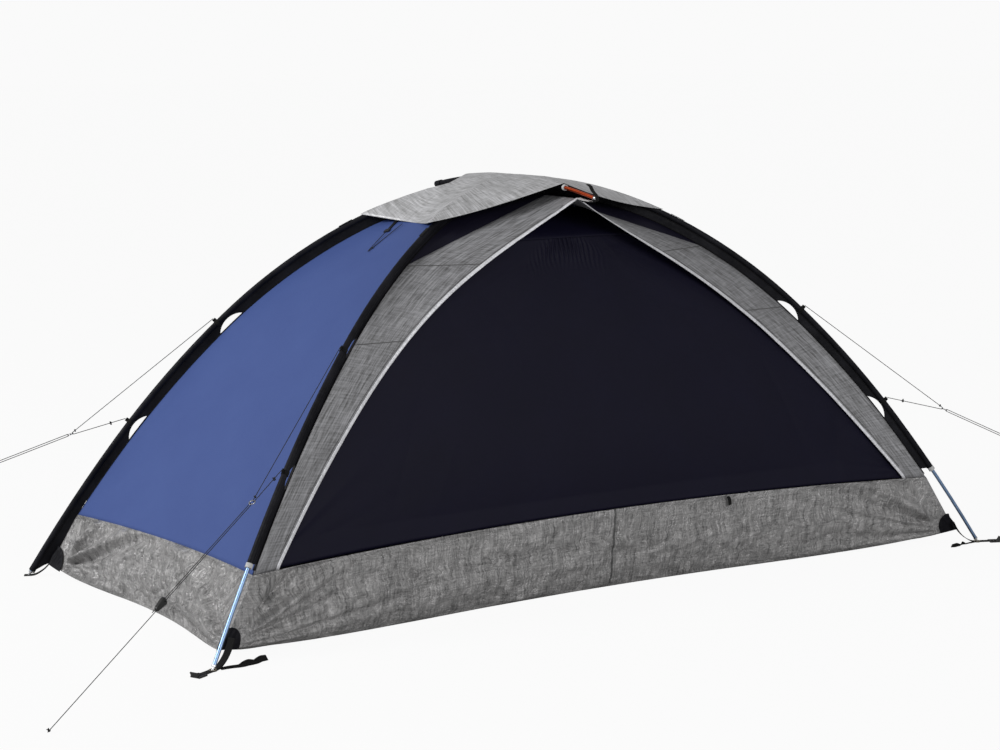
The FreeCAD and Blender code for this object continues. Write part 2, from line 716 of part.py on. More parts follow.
def closed_cap(rings):
    """The cap's solid: rings of points round the crown, thickened upward."""
    lift = Vector(0, 0, CLOTH)
    faces = []

    def add(a, b, c):
        if (b - a).cross(c - a).Length > 1e-6:
            faces.append(Part.Face(Part.makePolygon([a, b, c, a])))

    for inner, outer in zip(rings, rings[1:]):
        for j in range(len(inner) - 1):
            for up in (Vector(0, 0, 0), lift):
                add(inner[j] + up, outer[j] + up, outer[j + 1] + up)
                add(inner[j] + up, outer[j + 1] + up, inner[j + 1] + up)
    edge = rings[-1]
    for a, b in zip(edge, edge[1:]):
        add(a, b, b + lift)
        add(a, b + lift, a + lift)
    shell = Part.makeShell(faces)
    shell.sewShape()
    solid = Part.makeSolid(shell)
    if solid.Volume < 0:
        solid.reverse()
    return solid


save("roof_cap", closed_cap(roof_cap()))


def cap_tie(leg):
    """A webbing tie from a cap corner down along the sleeve."""
    s = leg.s_at_height(CAP_Z)
    return leg.sweep(s + 10, s + 48, bar_section(-SLEEVE_R - SKIN, -SLEEVE_R - 1.5, 4))


save("roof_cap_ties", *[cap_tie(leg) for leg in LEGS.values()])


# ---- corners: patch, strap, grommet, ladder lock, loose tail ----
STRAP_HALF, STRAP_T = 10.0, 1.5
GROMMET_U, STRAP_Z = 1267.5, 3.0


def corner_patch(corner):
    """A black cup of cloth sewn over the tub's corner."""
    sx, sy = CORNERS[corner]
    rows = []
    for share in (0.0, 0.5, 1.0):
        reach = 0.044 * (1 - 0.45 * share)
        rise = 0.30 * share
        row = [mix(side_foot(t), side_seam(t), rise) for t in spread(1 - reach, 1, 3)]
        for t in spread(-1, -1 + 2 * reach, 3)[1:]:
            end = mix(end_foot(t), end_seam(t), rise)
            row.append(Vector(-end.x, end.y, end.z))
        rows.append(row)
    push = Vector(6.5, -4.0, 0)
    rows = [[Vector(sx * (p + push).x, -sy * (p + push).y, p.z) for p in row] for row in rows]
    return panel(rows)


def strap_face(leg, points):
    """A strap's side view, STRAP_T thick along (u, z) points, carried across its width."""
    top, bottom = [], []
    for i, (u, z) in enumerate(points):
        before, after = points[max(i - 1, 0)], points[min(i + 1, len(points) - 1)]
        du, dz = after[0] - before[0], after[1] - before[1]
        size = math.hypot(du, dz)
        nu, nz = -dz / size * STRAP_T / 2, du / size * STRAP_T / 2
        top.append(leg.place(u + nu, z + nz, -STRAP_HALF))
        bottom.append(leg.place(u - nu, z - nz, -STRAP_HALF))
    ring = top + bottom[::-1]
    return Part.Face(Part.makePolygon(ring + ring[:1])).extrude(leg.side * 2 * STRAP_HALF)


def corner_strap(leg):
    """The strap out to the pole's tip: on to the buckle in front, and to a plain hole in the pocket at the back."""
    points = [(1218, 31), (1229, 20), (1240, 10), (1250, 5), (1258, STRAP_Z), (1280, STRAP_Z)]
    if leg.sy < 0:
        points.append((1301, STRAP_Z))
    hole = Part.makeCylinder(6.2 if leg.sy < 0 else 4.0, 20, leg.place(GROMMET_U if leg.sy < 0 else REACH - 1.5, -6))
    return strap_face(leg, points).cut(hole)


def grommet(leg):
    """A rolled eyelet: a barrel through the strap with a flange above and below."""
    low = STRAP_Z - STRAP_T / 2 - 1.1
    outer = Part.makeCylinder(9.0, 0.8, leg.place(GROMMET_U, low))
    upper = Part.makeCylinder(9.0, 0.8, leg.place(GROMMET_U, STRAP_Z + STRAP_T / 2 + 0.3))
    barrel = Part.makeCylinder(6.0, STRAP_T + 2.2, leg.place(GROMMET_U, low))
    bore = Part.makeCylinder(5.2, 20, leg.place(GROMMET_U, -6))
    return outer.fuse([upper, barrel]).cut(bore).removeSplitter()


def ladder_lock(leg):
    """A moulded three-bar buckle with an upturned lip."""
    length, half, thick, low = 27.0, 13.0, 4.0, 0.4
    start = 1301.5

    def block(u0, u1, b0, b1, z0, z1):
        base = Part.makePolygon([leg.place(u, z0, b) for u, b in ((u0, b0), (u1, b0), (u1, b1), (u0, b1), (u0, b0))])
        return Part.Face(base).extrude(Vector(0, 0, z1 - z0))

    body = block(start, start + length, -half, half, low, low + thick)
    for u in (start + 4, start + 13):
        body = body.cut(block(u, u + 5.5, -STRAP_HALF - 0.5, STRAP_HALF + 0.5, -1, 9))
    lip = Part.makePolygon(
        [
            leg.place(start + u, z, -half + 3)
            for u, z in ((length - 4, low + 2), (length, low + 2), (length + 6, 13), (length + 3, 14), (length - 4, low + 2))
        ]
    )
    return body.fuse(Part.Face(lip).extrude(leg.side * (2 * half - 6))).removeSplitter()


def strap_tail(leg):
    """The loose end of the adjusting strap, lying on the ground beside the corner."""
    facing = 1 if leg.sx * leg.sy > 0 else -1
    middle = [(1226, 16), (1214, 25), (1204, 34), (1188, 40), (1168, 43), (1150, 43), (1134, 46)]
    if leg.sx > 0:
        middle = [(1242, 15), (1228, 24), (1214, 38), (1204, 50), (1192, 58), (1176, 60)]
    rows = []
    for i, (u, b) in enumerate(middle):
        before, after = middle[max(i - 1, 0)], middle[min(i + 1, len(middle) - 1)]
        du, db = after[0] - before[0], after[1] - before[1]
        size = math.hypot(du, db)
        nu, nb = -db / size * 7.5, du / size * 7.5
        rows.append([leg.place(u + nu, 0.3, facing * (b + nb)), leg.place(u - nu, 0.3, facing * (b - nb))])
    return panel(rows, 1.3, Vector(0, 0, -5000))


save("corner_patches", *[corner_patch(name) for name in CORNERS])
save("corner_straps", *[corner_strap(leg) for leg in LEGS.values()])
save("corner_grommets", *[grommet(leg) for leg in FRONT_LEGS])
save("ladder_locks", *[ladder_lock(leg) for leg in FRONT_LEGS])
save("strap_tails", *[strap_tail(leg) for leg in FRONT_LEGS])


# ---- door zip: one tape arc each side, with the slider on the left one ----
ZIP_FOOT_Z, ZIP_TOP_Z = 300.0, 620.0


def zip_path(share):
    """A point of the left zip, on the door's hidden margin between door and flap."""
    z = mix(ZIP_FOOT_Z, ZIP_TOP_Z, share)
    x, y, _ = hem_at_height(z)
    return Vector(-(x + 9.0), -(y - 3.4), z)


def circle_through(a, b, c):
    """Centre, axis and radius of the circle through three points."""
    ab, ac = b - a, c - a
    axis = ab.cross(ac)
    to_centre = (axis.cross(ab) * ac.dot(ac) + ac.cross(axis) * ab.dot(ab)) * (1 / (2 * axis.dot(axis)))
    return a + to_centre, axis.normalize(), to_centre.Length


ZIP_CENTRE, ZIP_AXIS, ZIP_R = circle_through(zip_path(0), zip_path(0.5), zip_path(1))


def zip_angle(point):
    start = (zip_path(0) - ZIP_CENTRE).normalize()
    here = (point - ZIP_CENTRE).normalize()
    return math.degrees(math.acos(min(1.0, start.dot(here))))


def zip_run(first, last, outline):
    """A section carried round the zip's arc between two angles. The outline is (s, n): s away from the door's
    middle, n out of the tent."""
    start = FreeCAD.Rotation(ZIP_AXIS, first).multVec(zip_path(0) - ZIP_CENTRE)
    along = ZIP_AXIS.cross(start).normalize()
    out = Vector(0, -1, 0.33)
    out = (out - along * out.dot(along)).normalize()
    aside = out.cross(along)
    if aside.x > 0:
        aside = aside * -1
    points = [ZIP_CENTRE + start + aside * s + out * n for s, n in outline]
    return Part.Face(Part.makePolygon(points + points[:1])).revolve(ZIP_CENTRE, ZIP_AXIS, last - first)


ZIP_END = zip_angle(zip_path(1))
SLIDER_SPAN = math.degrees(14.0 / ZIP_R)
CHAIN = [(-1.5, -1.1), (1.5, -1.1), (1.5, -0.5), (9, -0.5), (9, 0.5), (1.5, 0.5), (1.5, 1.1), (-1.5, 1.1)]
SLIDER = [(2.9, -0.9), (2.9, -2.6), (-3.2, -2.6), (-3.2, 2.6), (2.9, 2.6), (2.9, 0.9)]
SLIDER += [(1.9, 0.9), (1.9, 1.5), (-1.9, 1.5), (-1.9, -1.5), (1.9, -1.5), (1.9, -0.9)]
chain = zip_run(-0.25, ZIP_END + 0.6, CHAIN)
save("front_door_zips", chain, mirrored(chain, X_AXIS))
save("front_door_zip_slider", zip_run(0, SLIDER_SPAN, SLIDER))
print("zip arc: centre", ZIP_CENTRE, "axis", ZIP_AXIS, "radius", round(ZIP_R, 1), "sweep", round(ZIP_END, 2))


# ---- small pieces on the outside: vent tie on the left wall, tie tab on the front tub seam ----
WALL_OUT = Vector(-0.5, 0, 0.87)


def end_wall_at(y, z, lift):
    """A point over the left end wall's outer face, lift above it."""
    return end_wall_point(SEAM.s_at_height(z, SEAM_GAP), y / seam_at(z)[1]) + WALL_OUT * (CLOTH + lift)


def strip_between(a, b, wide, thick, out):
    """A flat straight strip from a to b, its underside on both points."""
    along = (b - a).normalize()
    out = (out - along * out.dot(along)).normalize()
    side = along.cross(out) * (wide / 2)
    base = Part.Face(Part.makePolygon([a - side, a + side, b + side, b - side, a - side]))
    return base.extrude(out * thick)


tab_top, tab_end = end_wall_at(82, 905, 1.0), end_wall_at(58, 886, 1.0)
save("vent_tab", strip_between(tab_top, tab_end, 10, 1.2, WALL_OUT))
buckle_far = tab_end + (tab_end - tab_top).normalize() * 14
buckle_near = tab_end + (tab_end - tab_top).normalize() * 0.5
buckle = strip_between(buckle_near, buckle_far, 15, 3.5, WALL_OUT)
slot_a = buckle_near + (buckle_far - buckle_near) * 0.22 - WALL_OUT * 2
slot_b = buckle_near + (buckle_far - buckle_near) * 0.42 - WALL_OUT * 2
slot = strip_between(slot_a, slot_b, 10.5, 12, WALL_OUT)
VENT_CORD_LIFT = 4.6
CORD_END = end_wall_at(15, 836, VENT_CORD_LIFT)
CORD_TOP = end_wall_at(30, 899, VENT_CORD_LIFT)
CORD_BUCKLE = end_wall_at(46, 877, VENT_CORD_LIFT)
save("vent_tie_buckle", buckle.cut(slot))


tie_point = side_seam(0.366) + Vector(0, -1.6, -12)
tie_low = tie_point + Vector(0, -2.0, -14)
save("door_tie_tab", strip_between(tie_point, tie_low, 10, 2.4, Vector(0, -1, 0.1)))


# ---- guylines, in each leg's own upright plane ----
def turn_about(centre, radius, entry, leave, clockwise):
    """The two points where a taut cord's straight runs meet as it turns round a wire, in (u, z)."""

    def tangent(point, sign):
        du, dz = centre[0] - point[0], centre[1] - point[1]
        swing = sign * math.asin(radius / math.hypot(du, dz))
        size = math.hypot(du, dz)
        du, dz = du / size, dz / size
        return (du * math.cos(swing) - dz * math.sin(swing), du * math.sin(swing) + dz * math.cos(swing))

    sign = 1 if clockwise else -1
    inward, outward = tangent(entry, sign), tangent(leave, -sign)
    far = (inward[0] + outward[0], inward[1] + outward[1])
    size = math.hypot(*far)
    far = (far[0] / size, far[1] / size)
    middle = (centre[0] + far[0] * radius, centre[1] + far[1] * radius)

    def meet(point, direction):
        bottom = direction[0] * far[0] + direction[1] * far[1]
        step = ((middle[0] - point[0]) * far[0] + (middle[1] - point[1]) * far[1]) / bottom
        return (point[0] + direction[0] * step, point[1] + direction[1] * step)

    return [meet(entry, inward), meet(leave, outward)]


def cord(path, radii, radius=CORD_R):
    """A cord along a path: straight runs joined by tangent arcs. radii has one for each turn."""
    edges, at, length = [], path[0], 0.0
    for before, here, after, bend in zip(path, path[1:], path[2:], radii):
        a, b = (here - before).normalize(), (after - here).normalize()
        turn = a.getAngle(b)
        cut = bend * math.tan(turn / 2)
        start, end = here - a * cut, here + b * cut
        middle = here + (b - a).normalize() * (bend / math.cos(turn / 2) - bend)
        edges.append(Part.LineSegment(at, start).toShape())
        edges.append(Part.Arc(start, middle, end).toShape())
        at = end
    edges.append(Part.LineSegment(at, path[-1]).toShape())
    length = sum(e.Length for e in edges)
    wire = Part.Wire(edges)
    first = (path[1] - path[0]).normalize()
    section = Part.Wire(Part.makeCircle(radius, path[0], first))
    solid = wire.makePipeShell([section], True, True)
    print("cord", round(length, 1), "mm; volume share", round(solid.Volume / (math.pi * radius ** 2 * length), 4))
    return solid


def guy_geometry(leg, ring, far):
    """The points that a guyline is made of: its ties, its ring's two wires, and the line's direction."""
    du, dz = far[0] - ring[0], far[1] - ring[1]
    size = math.hypot(du, dz)
    line = (du / size, dz / size)
    near_wire = (ring[0] - line[0] * RING_R, ring[1] - line[1] * RING_R)
    far_wire = (ring[0] + line[0] * RING_R, ring[1] + line[1] * RING_R)
    ties = []
    for height in (GUY_UPPER_Z, GUY_LOWER_Z):
        s = leg.s_at_height(height)
        point, away = leg.at(s), leg.away(s)
        point = point + away * (SLEEVE_R + 7.0 + CORD_R + 0.4)
        ties.append((point.dot(leg.out), point.z))
    return ties, near_wire, far_wire, line


BEND = RING_WIRE + CORD_R + 0.35


def bridle(leg, ring, far):
    ties, near_wire, _, _ = guy_geometry(leg, ring, far)
    around = turn_about(near_wire, BEND, ties[0], ties[1], True)
    path = [leg.place(u, z) for u, z in (ties[0], *around, ties[1])]
    return cord(path, [BEND * 0.98, BEND * 0.98])


def shifted(point, line, forward, aside):
    return (point[0] + line[0] * forward - line[1] * aside, point[1] + line[1] * forward + line[0] * aside)


def main_line(leg, ring, far, short_end, long_end):
    """The doubled line: from its knotted short end up round the ring and back down to its long end."""
    _, _, far_wire, line = guy_geometry(leg, ring, far)
    points = [
        shifted(ring, line, short_end, BEND),
        shifted(far_wire, line, -BEND, BEND),
        shifted(far_wire, line, -BEND, -BEND),
        shifted(ring, line, long_end, -BEND),
    ]
    return cord([leg.place(u, z) for u, z in points], [BEND * 0.98, BEND * 0.98])


def guy_ring(leg, ring, far):
    _, _, _, line = guy_geometry(leg, ring, far)
    normal = leg.out * -line[1] + Z_AXIS * line[0]
    return Part.makeTorus(RING_R, RING_WIRE, leg.place(*ring), normal)


def tensioner(leg, ring, far, at):
    """A triangular line tensioner, its wide end to the ring, with two bores that the doubled line runs through."""
    _, _, _, line = guy_geometry(leg, ring, far)
    aim = leg.out * line[0] + Z_AXIS * line[1]
    half = [(-17, 6.5), (-14, 9.0), (-8, 9.0), (15, 5.0), (17, 4.2)]
    outline = half + [(f, -a) for f, a in half[::-1]]
    centre = shifted(ring, line, at, 0)
    points = [leg.place(*shifted(centre, line, f, a), -3.5) for f, a in outline]
    body = Part.Face(Part.makePolygon(points + points[:1])).extrude(leg.side * 7.0)
    for aside in (-BEND, BEND):
        start = leg.place(*shifted(centre, line, -30, aside))
        body = body.cut(Part.makeCylinder(CORD_R + 0.35, 60, start, aim))
    window = Part.makeCylinder(2.2, 20, leg.place(*shifted(centre, line, -12, 0), -10), leg.side)
    return body.cut(window)


def vent_cord():
    """A thin pull cord: from under the roof cap down to its bight, and back up to the buckle."""
    down = (CORD_END - CORD_TOP).normalize()
    up = (CORD_BUCKLE - CORD_END).normalize()
    across = (down - up).cross(down.cross(up)).normalize() * 2.6
    if across.dot(CORD_TOP - CORD_BUCKLE) < 0:
        across = across * -1
    return cord([CORD_TOP, CORD_END + across, CORD_END - across, CORD_BUCKLE], [2.4, 2.4], 0.9)


save("vent_tie_cord", vent_cord())

FRONT_LEFT_RING, FRONT_LEFT_FAR = (1115.3, 350.8), (1790.0, 4.5)
BACK_LEFT_RING, BACK_LEFT_FAR = (1150.0, 368.7), (1385.0, 282.6)
FRONT_RIGHT_RING, FRONT_RIGHT_FAR = (1167.6, 369.4), (1385.0, 268.0)
TENSIONER_AT = 359.0        # along the line from the ring


def run_length(ring, far):
    return math.hypot(far[0] - ring[0], far[1] - ring[1])


GUYS = {
    "front_left": (FRONT_LEFT_RING, FRONT_LEFT_FAR, TENSIONER_AT + 30),
    "back_left": (BACK_LEFT_RING, BACK_LEFT_FAR, None),
    "front_right": (FRONT_RIGHT_RING, FRONT_RIGHT_FAR, None),
}
for corner_name, (ring, far, short) in GUYS.items():
    leg = LEGS[corner_name]
    full = run_length(ring, far)
    save(f"guy_bridle_{corner_name}", bridle(leg, ring, far))
    save(f"guy_line_{corner_name}", main_line(leg, ring, far, short or full - 4, full))
    save(f"guy_ring_{corner_name}", guy_ring(leg, ring, far))
save("guy_tensioner", tensioner(LEGS["front_left"], FRONT_LEFT_RING, FRONT_LEFT_FAR, TENSIONER_AT))
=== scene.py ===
"""The looks of the dome tent, in metres, in the CAD frame.
+X runs along the tent, the door faces -Y, +Z is up, and the origin is on the ground between the pole feet.
Cloth panels, cords, hems and trim are built here.
Poles, sleeves and hardware are the CAD's own, with materials."""

import json
import math

import bpy
import numpy as np
from mathutils import Matrix, Vector


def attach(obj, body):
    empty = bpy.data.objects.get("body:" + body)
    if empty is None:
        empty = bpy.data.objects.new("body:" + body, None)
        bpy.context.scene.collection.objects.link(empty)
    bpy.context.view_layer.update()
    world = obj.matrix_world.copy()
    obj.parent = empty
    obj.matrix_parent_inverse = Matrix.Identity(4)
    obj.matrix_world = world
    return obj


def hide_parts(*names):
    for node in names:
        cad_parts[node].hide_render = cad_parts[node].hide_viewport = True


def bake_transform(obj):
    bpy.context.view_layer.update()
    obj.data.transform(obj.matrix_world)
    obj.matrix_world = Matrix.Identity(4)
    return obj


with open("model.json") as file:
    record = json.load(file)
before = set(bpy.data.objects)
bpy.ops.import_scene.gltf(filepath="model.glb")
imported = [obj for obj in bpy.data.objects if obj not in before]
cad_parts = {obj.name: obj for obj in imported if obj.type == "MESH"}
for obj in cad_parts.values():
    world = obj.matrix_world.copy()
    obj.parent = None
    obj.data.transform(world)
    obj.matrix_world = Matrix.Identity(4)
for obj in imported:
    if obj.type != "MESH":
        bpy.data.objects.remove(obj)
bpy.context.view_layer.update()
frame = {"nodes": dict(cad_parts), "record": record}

# ---- driving dimensions, as in the CAD, but for END_SEAM_FRONT_Z, which is 0.022 lower here ----
FOOT = np.array([1.147, 0.546])
CROWN, POLE_STEP = 0.995, 0.010
TURNS = (25.0, 16.0, 9.0, 5.4)
SEAM_GAP, RIDGE_GAP = 0.024, 0.032
SLEEVE_R = 0.0075
TUB_Z, TUB_RISE = 0.185, 0.020
END_SEAM_FRONT_Z, END_SEAM_BACK_Z, END_SEAM_RISE = 0.186, 0.158, 0.005
WALL_TOP_S = 0.012
FLOOR_X, FLOOR_Y = 1.100, 0.502
FLOOR_BOW_X, FLOOR_BOW_Y = 0.070, 0.112
CORNER_Z = 0.034
SIDE_BOW, END_BOW = 0.055, 0.020
RIDGE_END, RIDGE_Z, RIDGE_SAG, RIDGE_SLEEVE = 0.372, 1.010, 0.034, 0.235
AWNING_BACK, AWNING_TIP, AWNING_TIP_Z, AWNING_JOIN_Z = 0.150, 0.2978, 0.9711, 0.825
CAP_Z, CAP_LIFT = 0.905, 0.0105
HINGE_Z, HINGE_Y = 0.250, -0.400
DOOR_TOP_Z, DOOR_OVERLAP, DOOR_BOW = 0.875, 0.018, 0.045
HEM = np.array(
    [
        [0.9416, 0.4686, 0.1883],
        [0.4809, 0.2722, 0.7788],
        [0.2730, 0.2602, 0.7975],
        [0, AWNING_TIP, AWNING_TIP_Z],
    ]
)
REACH = math.hypot(*FOOT)
ALONG, ACROSS = FOOT / REACH
CORNERS = {"front_left": (-1, -1), "front_right": (1, -1), "back_left": (-1, 1), "back_right": (1, 1)}
UP = np.array([0.0, 0.0, 1.0])


# ---- the tent's curves ----
def leg_arcs(crown):
    """(centre u, centre z, radius, first heading) of a leg's four tubes, and their common length."""

    def fall(scale):
        heading = reach = drop = 0.0
        for turn in TURNS:
            step = math.radians(turn) * scale
            reach += (math.sin(heading + step) - math.sin(heading)) / step
            drop += (math.cos(heading) - math.cos(heading + step)) / step
            heading += step
        return reach, drop

    low, high = 0.5, 1.5
    for _ in range(60):
        middle = (low + high) / 2
        reach, drop = fall(middle)
        low, high = (middle, high) if drop / reach < crown / REACH else (low, middle)
    length = REACH / reach
    arcs, heading, u, z = [], 0.0, 0.0, crown
    for turn in TURNS:
        step = math.radians(turn) * middle
        radius = length / step
        cu, cz = u - radius * math.sin(heading), z - radius * math.cos(heading)
        arcs.append((cu, cz, radius, heading))
        heading += step
        u, z = cu + radius * math.sin(heading), cz + radius * math.cos(heading)
    return np.array(arcs), length


class Leg:
    """Half of a long pole, crown to foot, in its own upright plane. s is the length from the crown."""

    def __init__(self, corner, crown=CROWN):
        sx, sy = CORNERS[corner]
        self.arcs, self.tube = leg_arcs(crown)
        self.length = self.tube * len(TURNS)
        self.out = np.array([sx * ALONG, sy * ACROSS, 0.0])
        self.side = np.cross(UP, self.out)

    def place(self, u, z, b=0.0):
        return np.multiply.outer(u, self.out) + np.multiply.outer(z, UP) + np.multiply.outer(b, self.side)

    def flat(self, s, inward=0.0):
        s = np.asarray(s, float)
        i = np.clip((s / self.tube).astype(int), 0, len(TURNS) - 1)
        cu, cz, radius, first = np.moveaxis(self.arcs[i], -1, 0)
        heading = first + (s - i * self.tube) / radius
        return cu + (radius - inward) * np.sin(heading), cz + (radius - inward) * np.cos(heading), heading

    def at(self, s, inward=0.0):
        u, z, _ = self.flat(s, inward)
        return self.place(u, z)

    def s_at_height(self, z, inward=0.0):
        s = np.linspace(0, self.length, 4000)
        return np.interp(-np.asarray(z, float), -self.flat(s, inward)[1], s)


LEGS = {}
for name in CORNERS:
    lower = name in ("front_left", "back_right")
    LEGS[name] = Leg(name, CROWN + (-1 if lower else 1) * POLE_STEP / 2)
SEAM = Leg("front_right")


def mix(a, b, share):
    return a + (b - a) * share


def unit(rows):
    """Each row, or one vector, scaled to length 1."""
    rows = np.asarray(rows, float)
    return rows / np.maximum(np.linalg.norm(rows, axis=-1, keepdims=True), 1e-9)


def seam_at(z):
    """(x, y), both positive, of the seam under a leg at height z."""
    u = SEAM.flat(SEAM.s_at_height(z, SEAM_GAP), SEAM_GAP)[0]
    return u * ALONG, u * ACROSS


def hem_at(t):
    """The flap's free edge on the right, with y positive: t is 0 at the tub and 1 at the awning's tip."""
    t = np.asarray(t, float)[..., None]
    return (1 - t) ** 3 * HEM[0] + 3 * t * (1 - t) ** 2 * HEM[1] + 3 * t * t * (1 - t) * HEM[2] + t**3 * HEM[3]


HEM_T = np.linspace(0, 0.93, 800)
HEM_TABLE = hem_at(HEM_T)


def hem_at_height(z):
    """The hem's x and y, both positive, at height z."""
    return [np.interp(z, HEM_TABLE[:, 2], HEM_TABLE[:, i]) for i in (0, 1)]


RIDGE_R = (RIDGE_END**2 + RIDGE_SAG**2) / (2 * RIDGE_SAG)


def ridge_z(y, inward=0.0):
    return RIDGE_Z - RIDGE_R + np.sqrt((RIDGE_R - inward) ** 2 - np.square(y))


def points(x, y, z):
    return np.stack(np.broadcast_arrays(x, y, z), -1).astype(float)


TUB_X, TUB_Y = seam_at(TUB_Z)


def side_seam(t):
    bow = 1 - np.square(t)
    return points(TUB_X * t, -(TUB_Y - SIDE_BOW * bow), TUB_Z + TUB_RISE * bow)


def foot_rise(t):
    """How high the tub's lower edge stands off the ground, which it does mostly near the corners."""
    return CORNER_Z * np.abs(t) ** 5


def side_foot(t):
    return points(FLOOR_X * t, -(FLOOR_Y - FLOOR_BOW_Y * (1 - np.square(t))), foot_rise(t))


def end_wall_point(s, t):
    """The left end's blue wall, s down its legs from the crown, t from -1 in front to 1."""
    u, z, _ = SEAM.flat(s, SEAM_GAP)
    bow = END_BOW * (s - WALL_TOP_S) / (SEAM.s_at_height(TUB_Z, SEAM_GAP) - WALL_TOP_S)
    return points(-(u * ALONG - bow * (1 - np.square(t))), u * ACROSS * t, z)


def end_seam_s(t):
    return SEAM.s_at_height(mix(END_SEAM_FRONT_Z, END_SEAM_BACK_Z, (1 + np.asarray(t, float)) / 2), SEAM_GAP)


def end_seam(t):
    """The tub's top seam along the left end, which is lower at the back."""
    return end_wall_point(end_seam_s(t), t) + np.multiply.outer(END_SEAM_RISE * (1 - np.square(t)), UP)


def end_foot(t):
    return points(-(FLOOR_X - FLOOR_BOW_X * (1 - np.square(t))), FLOOR_Y * t, foot_rise(t))


def awning_edge(share):
    """The line where the awning's dark and grey cloth meet, on the right, from the leg seam to the ridge."""
    x, y = seam_at(AWNING_JOIN_Z)
    start = np.array([x, -y, AWNING_JOIN_Z])
    end = np.array([0.0009, -AWNING_BACK, ridge_z(AWNING_BACK, RIDGE_GAP)])
    return mix(start, end, np.asarray(share, float)[..., None])


# ---- smooth noise and folds, as heights in metres over a panel's flat (u, v) in metres ----
def soft_noise(u, v, cell, seed):
    """Smooth noise from -1 to 1, with features about cell across."""
    table = np.random.RandomState(seed).rand(64, 64) * 2 - 1
    x, y = u / cell, v / cell
    i, j = np.floor(x).astype(int), np.floor(y).astype(int)
    fx, fy = x - i, y - j
    fx, fy = fx * fx * (3 - 2 * fx), fy * fy * (3 - 2 * fy)
    low = mix(table[i % 64, j % 64], table[(i + 1) % 64, j % 64], fx)
    high = mix(table[i % 64, (j + 1) % 64], table[(i + 1) % 64, (j + 1) % 64], fx)
    return mix(low, high, fy)


def creases(u, v, seed, count, size, depth, width, lean=None):
    """Small sharp folds at random places, as in film-faced cloth. lean is (angle, spread) in radians."""
    rng = np.random.RandomState(seed)
    height = np.zeros_like(u)
    for _ in range(count):
        cu, cv = rng.uniform(u.min(), u.max()), rng.uniform(v.min(), v.max())
        angle = rng.uniform(0, math.pi) if lean is None else rng.normal(*lean)
        half, thin = size * rng.uniform(0.4, 1), width * rng.uniform(0.6, 1.5)
        tall = depth * rng.uniform(-1, 1)
        a = (u - cu) * math.cos(angle) + (v - cv) * math.sin(angle)
        b = (v - cv) * math.cos(angle) - (u - cu) * math.sin(angle)
        height += tall * np.exp(-np.abs(b) / thin) * np.clip(1 - (a / half) ** 2, 0, 1)
    return height


def fan(u, v, corner, count, reach, depth, seed, aims=(-math.pi, math.pi)):
    """Folds that fan out of a pulled corner, in directions between aims, and die away."""
    rng = np.random.RandomState(seed)
    du, dv = u - corner[0], v - corner[1]
    far, angle = np.hypot(du, dv), np.arctan2(dv, du)
    height = np.zeros_like(u)
    for _ in range(count):
        aim, wide = rng.uniform(*aims), rng.uniform(0.025, 0.07)
        turn = (angle - aim + math.pi) % (2 * math.pi) - math.pi
        height += rng.uniform(-1, 1) * np.exp(-((turn / wide) ** 2))
    return depth * height * np.exp(-far / reach) * np.clip(far / 0.03, 0, 1)


# ---- meshes ----
CLOTH = 0.0006
CUTS = {}


def flat_lengths(grid):
    """Each grid point's place on the flat cloth: u along the rows, from their middle, and v up the columns."""
    along = np.linalg.norm(np.diff(grid, axis=1), axis=-1)
    u = np.concatenate([np.zeros((grid.shape[0], 1)), along.cumsum(1)], 1)
    u -= u[:, -1:] / 2
    up = np.linalg.norm(np.diff(grid, axis=0), axis=-1)
    v = np.concatenate([np.zeros((1, grid.shape[1])), up.cumsum(0)], 0)
    return u, v


def grid_normals(grid):
    return unit(np.cross(np.gradient(grid, axis=1), np.gradient(grid, axis=0)))


def pushed(grid, height, pinned=0.02, sides="tblr"):
    """The grid moved along its normals by height, which fades to nothing within pinned of its sewn sides."""
    u, v = flat_lengths(grid)
    room = np.full(u.shape, 1.0)
    gaps = {"b": v - v[:1], "t": v[-1:] - v, "l": u - u[:, :1], "r": u[:, -1:] - u}
    for side in sides:
        room = np.minimum(room, np.clip(gaps[side] / pinned, 0, 1))
    return grid + grid_normals(grid) * (height * room)[..., None]


def finished(obj, slot, *stands_for):
    """Puts a piece in the scene as part of the tent, standing for CAD nodes if it is given any."""
    bpy.context.scene.collection.objects.link(obj)
    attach(obj, "tent")
    if stands_for:
        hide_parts(*stands_for)
    return obj


def mesh_object(name, vertices, faces, material, uv=None):
    mesh = bpy.data.meshes.new(name)
    mesh.from_pydata([tuple(p) for p in vertices], [], faces)
    mesh.validate()
    mesh.shade_smooth()
    if uv is not None:
        layer = mesh.uv_layers.new(name="UVMap")
        index = np.empty(len(mesh.loops), int)
        mesh.loops.foreach_get("vertex_index", index)
        layer.data.foreach_set("uv", uv[index].astype(np.float32).ravel())
    mesh.materials.append(material)
    return bpy.data.objects.new(name, mesh)


def grid_faces(rows, columns, tube=False, ring=False):
    """Faces over a grid of vertices, whose columns close up in a tube, and its rows too in a ring."""
    faces = []
    for i in range(rows if ring else rows - 1):
        for j in range(columns if tube else columns - 1):
            m, n = (i + 1) % rows, (j + 1) % columns
            faces.append((i * columns + j, i * columns + n, m * columns + n, m * columns + j))
    return faces


def thickened(obj, thick):
    solid = obj.modifiers.new("thickness", "SOLIDIFY")
    solid.thickness, solid.offset = thick, 0
    return obj


def cloth(name, grid, material, thick=CLOTH):
    """A sheet of cloth over a grid of points, with its own thickness. CUTS keeps its flat width and length."""
    u, v = flat_lengths(grid)
    CUTS[name] = (float((u[:, -1] - u[:, 0]).max()), float(v[-1].max()))
    uv = np.stack([u, v], -1).reshape(-1, 2)
    return thickened(mesh_object(name, grid.reshape(-1, 3), grid_faces(*grid.shape[:2]), material, uv), thick)


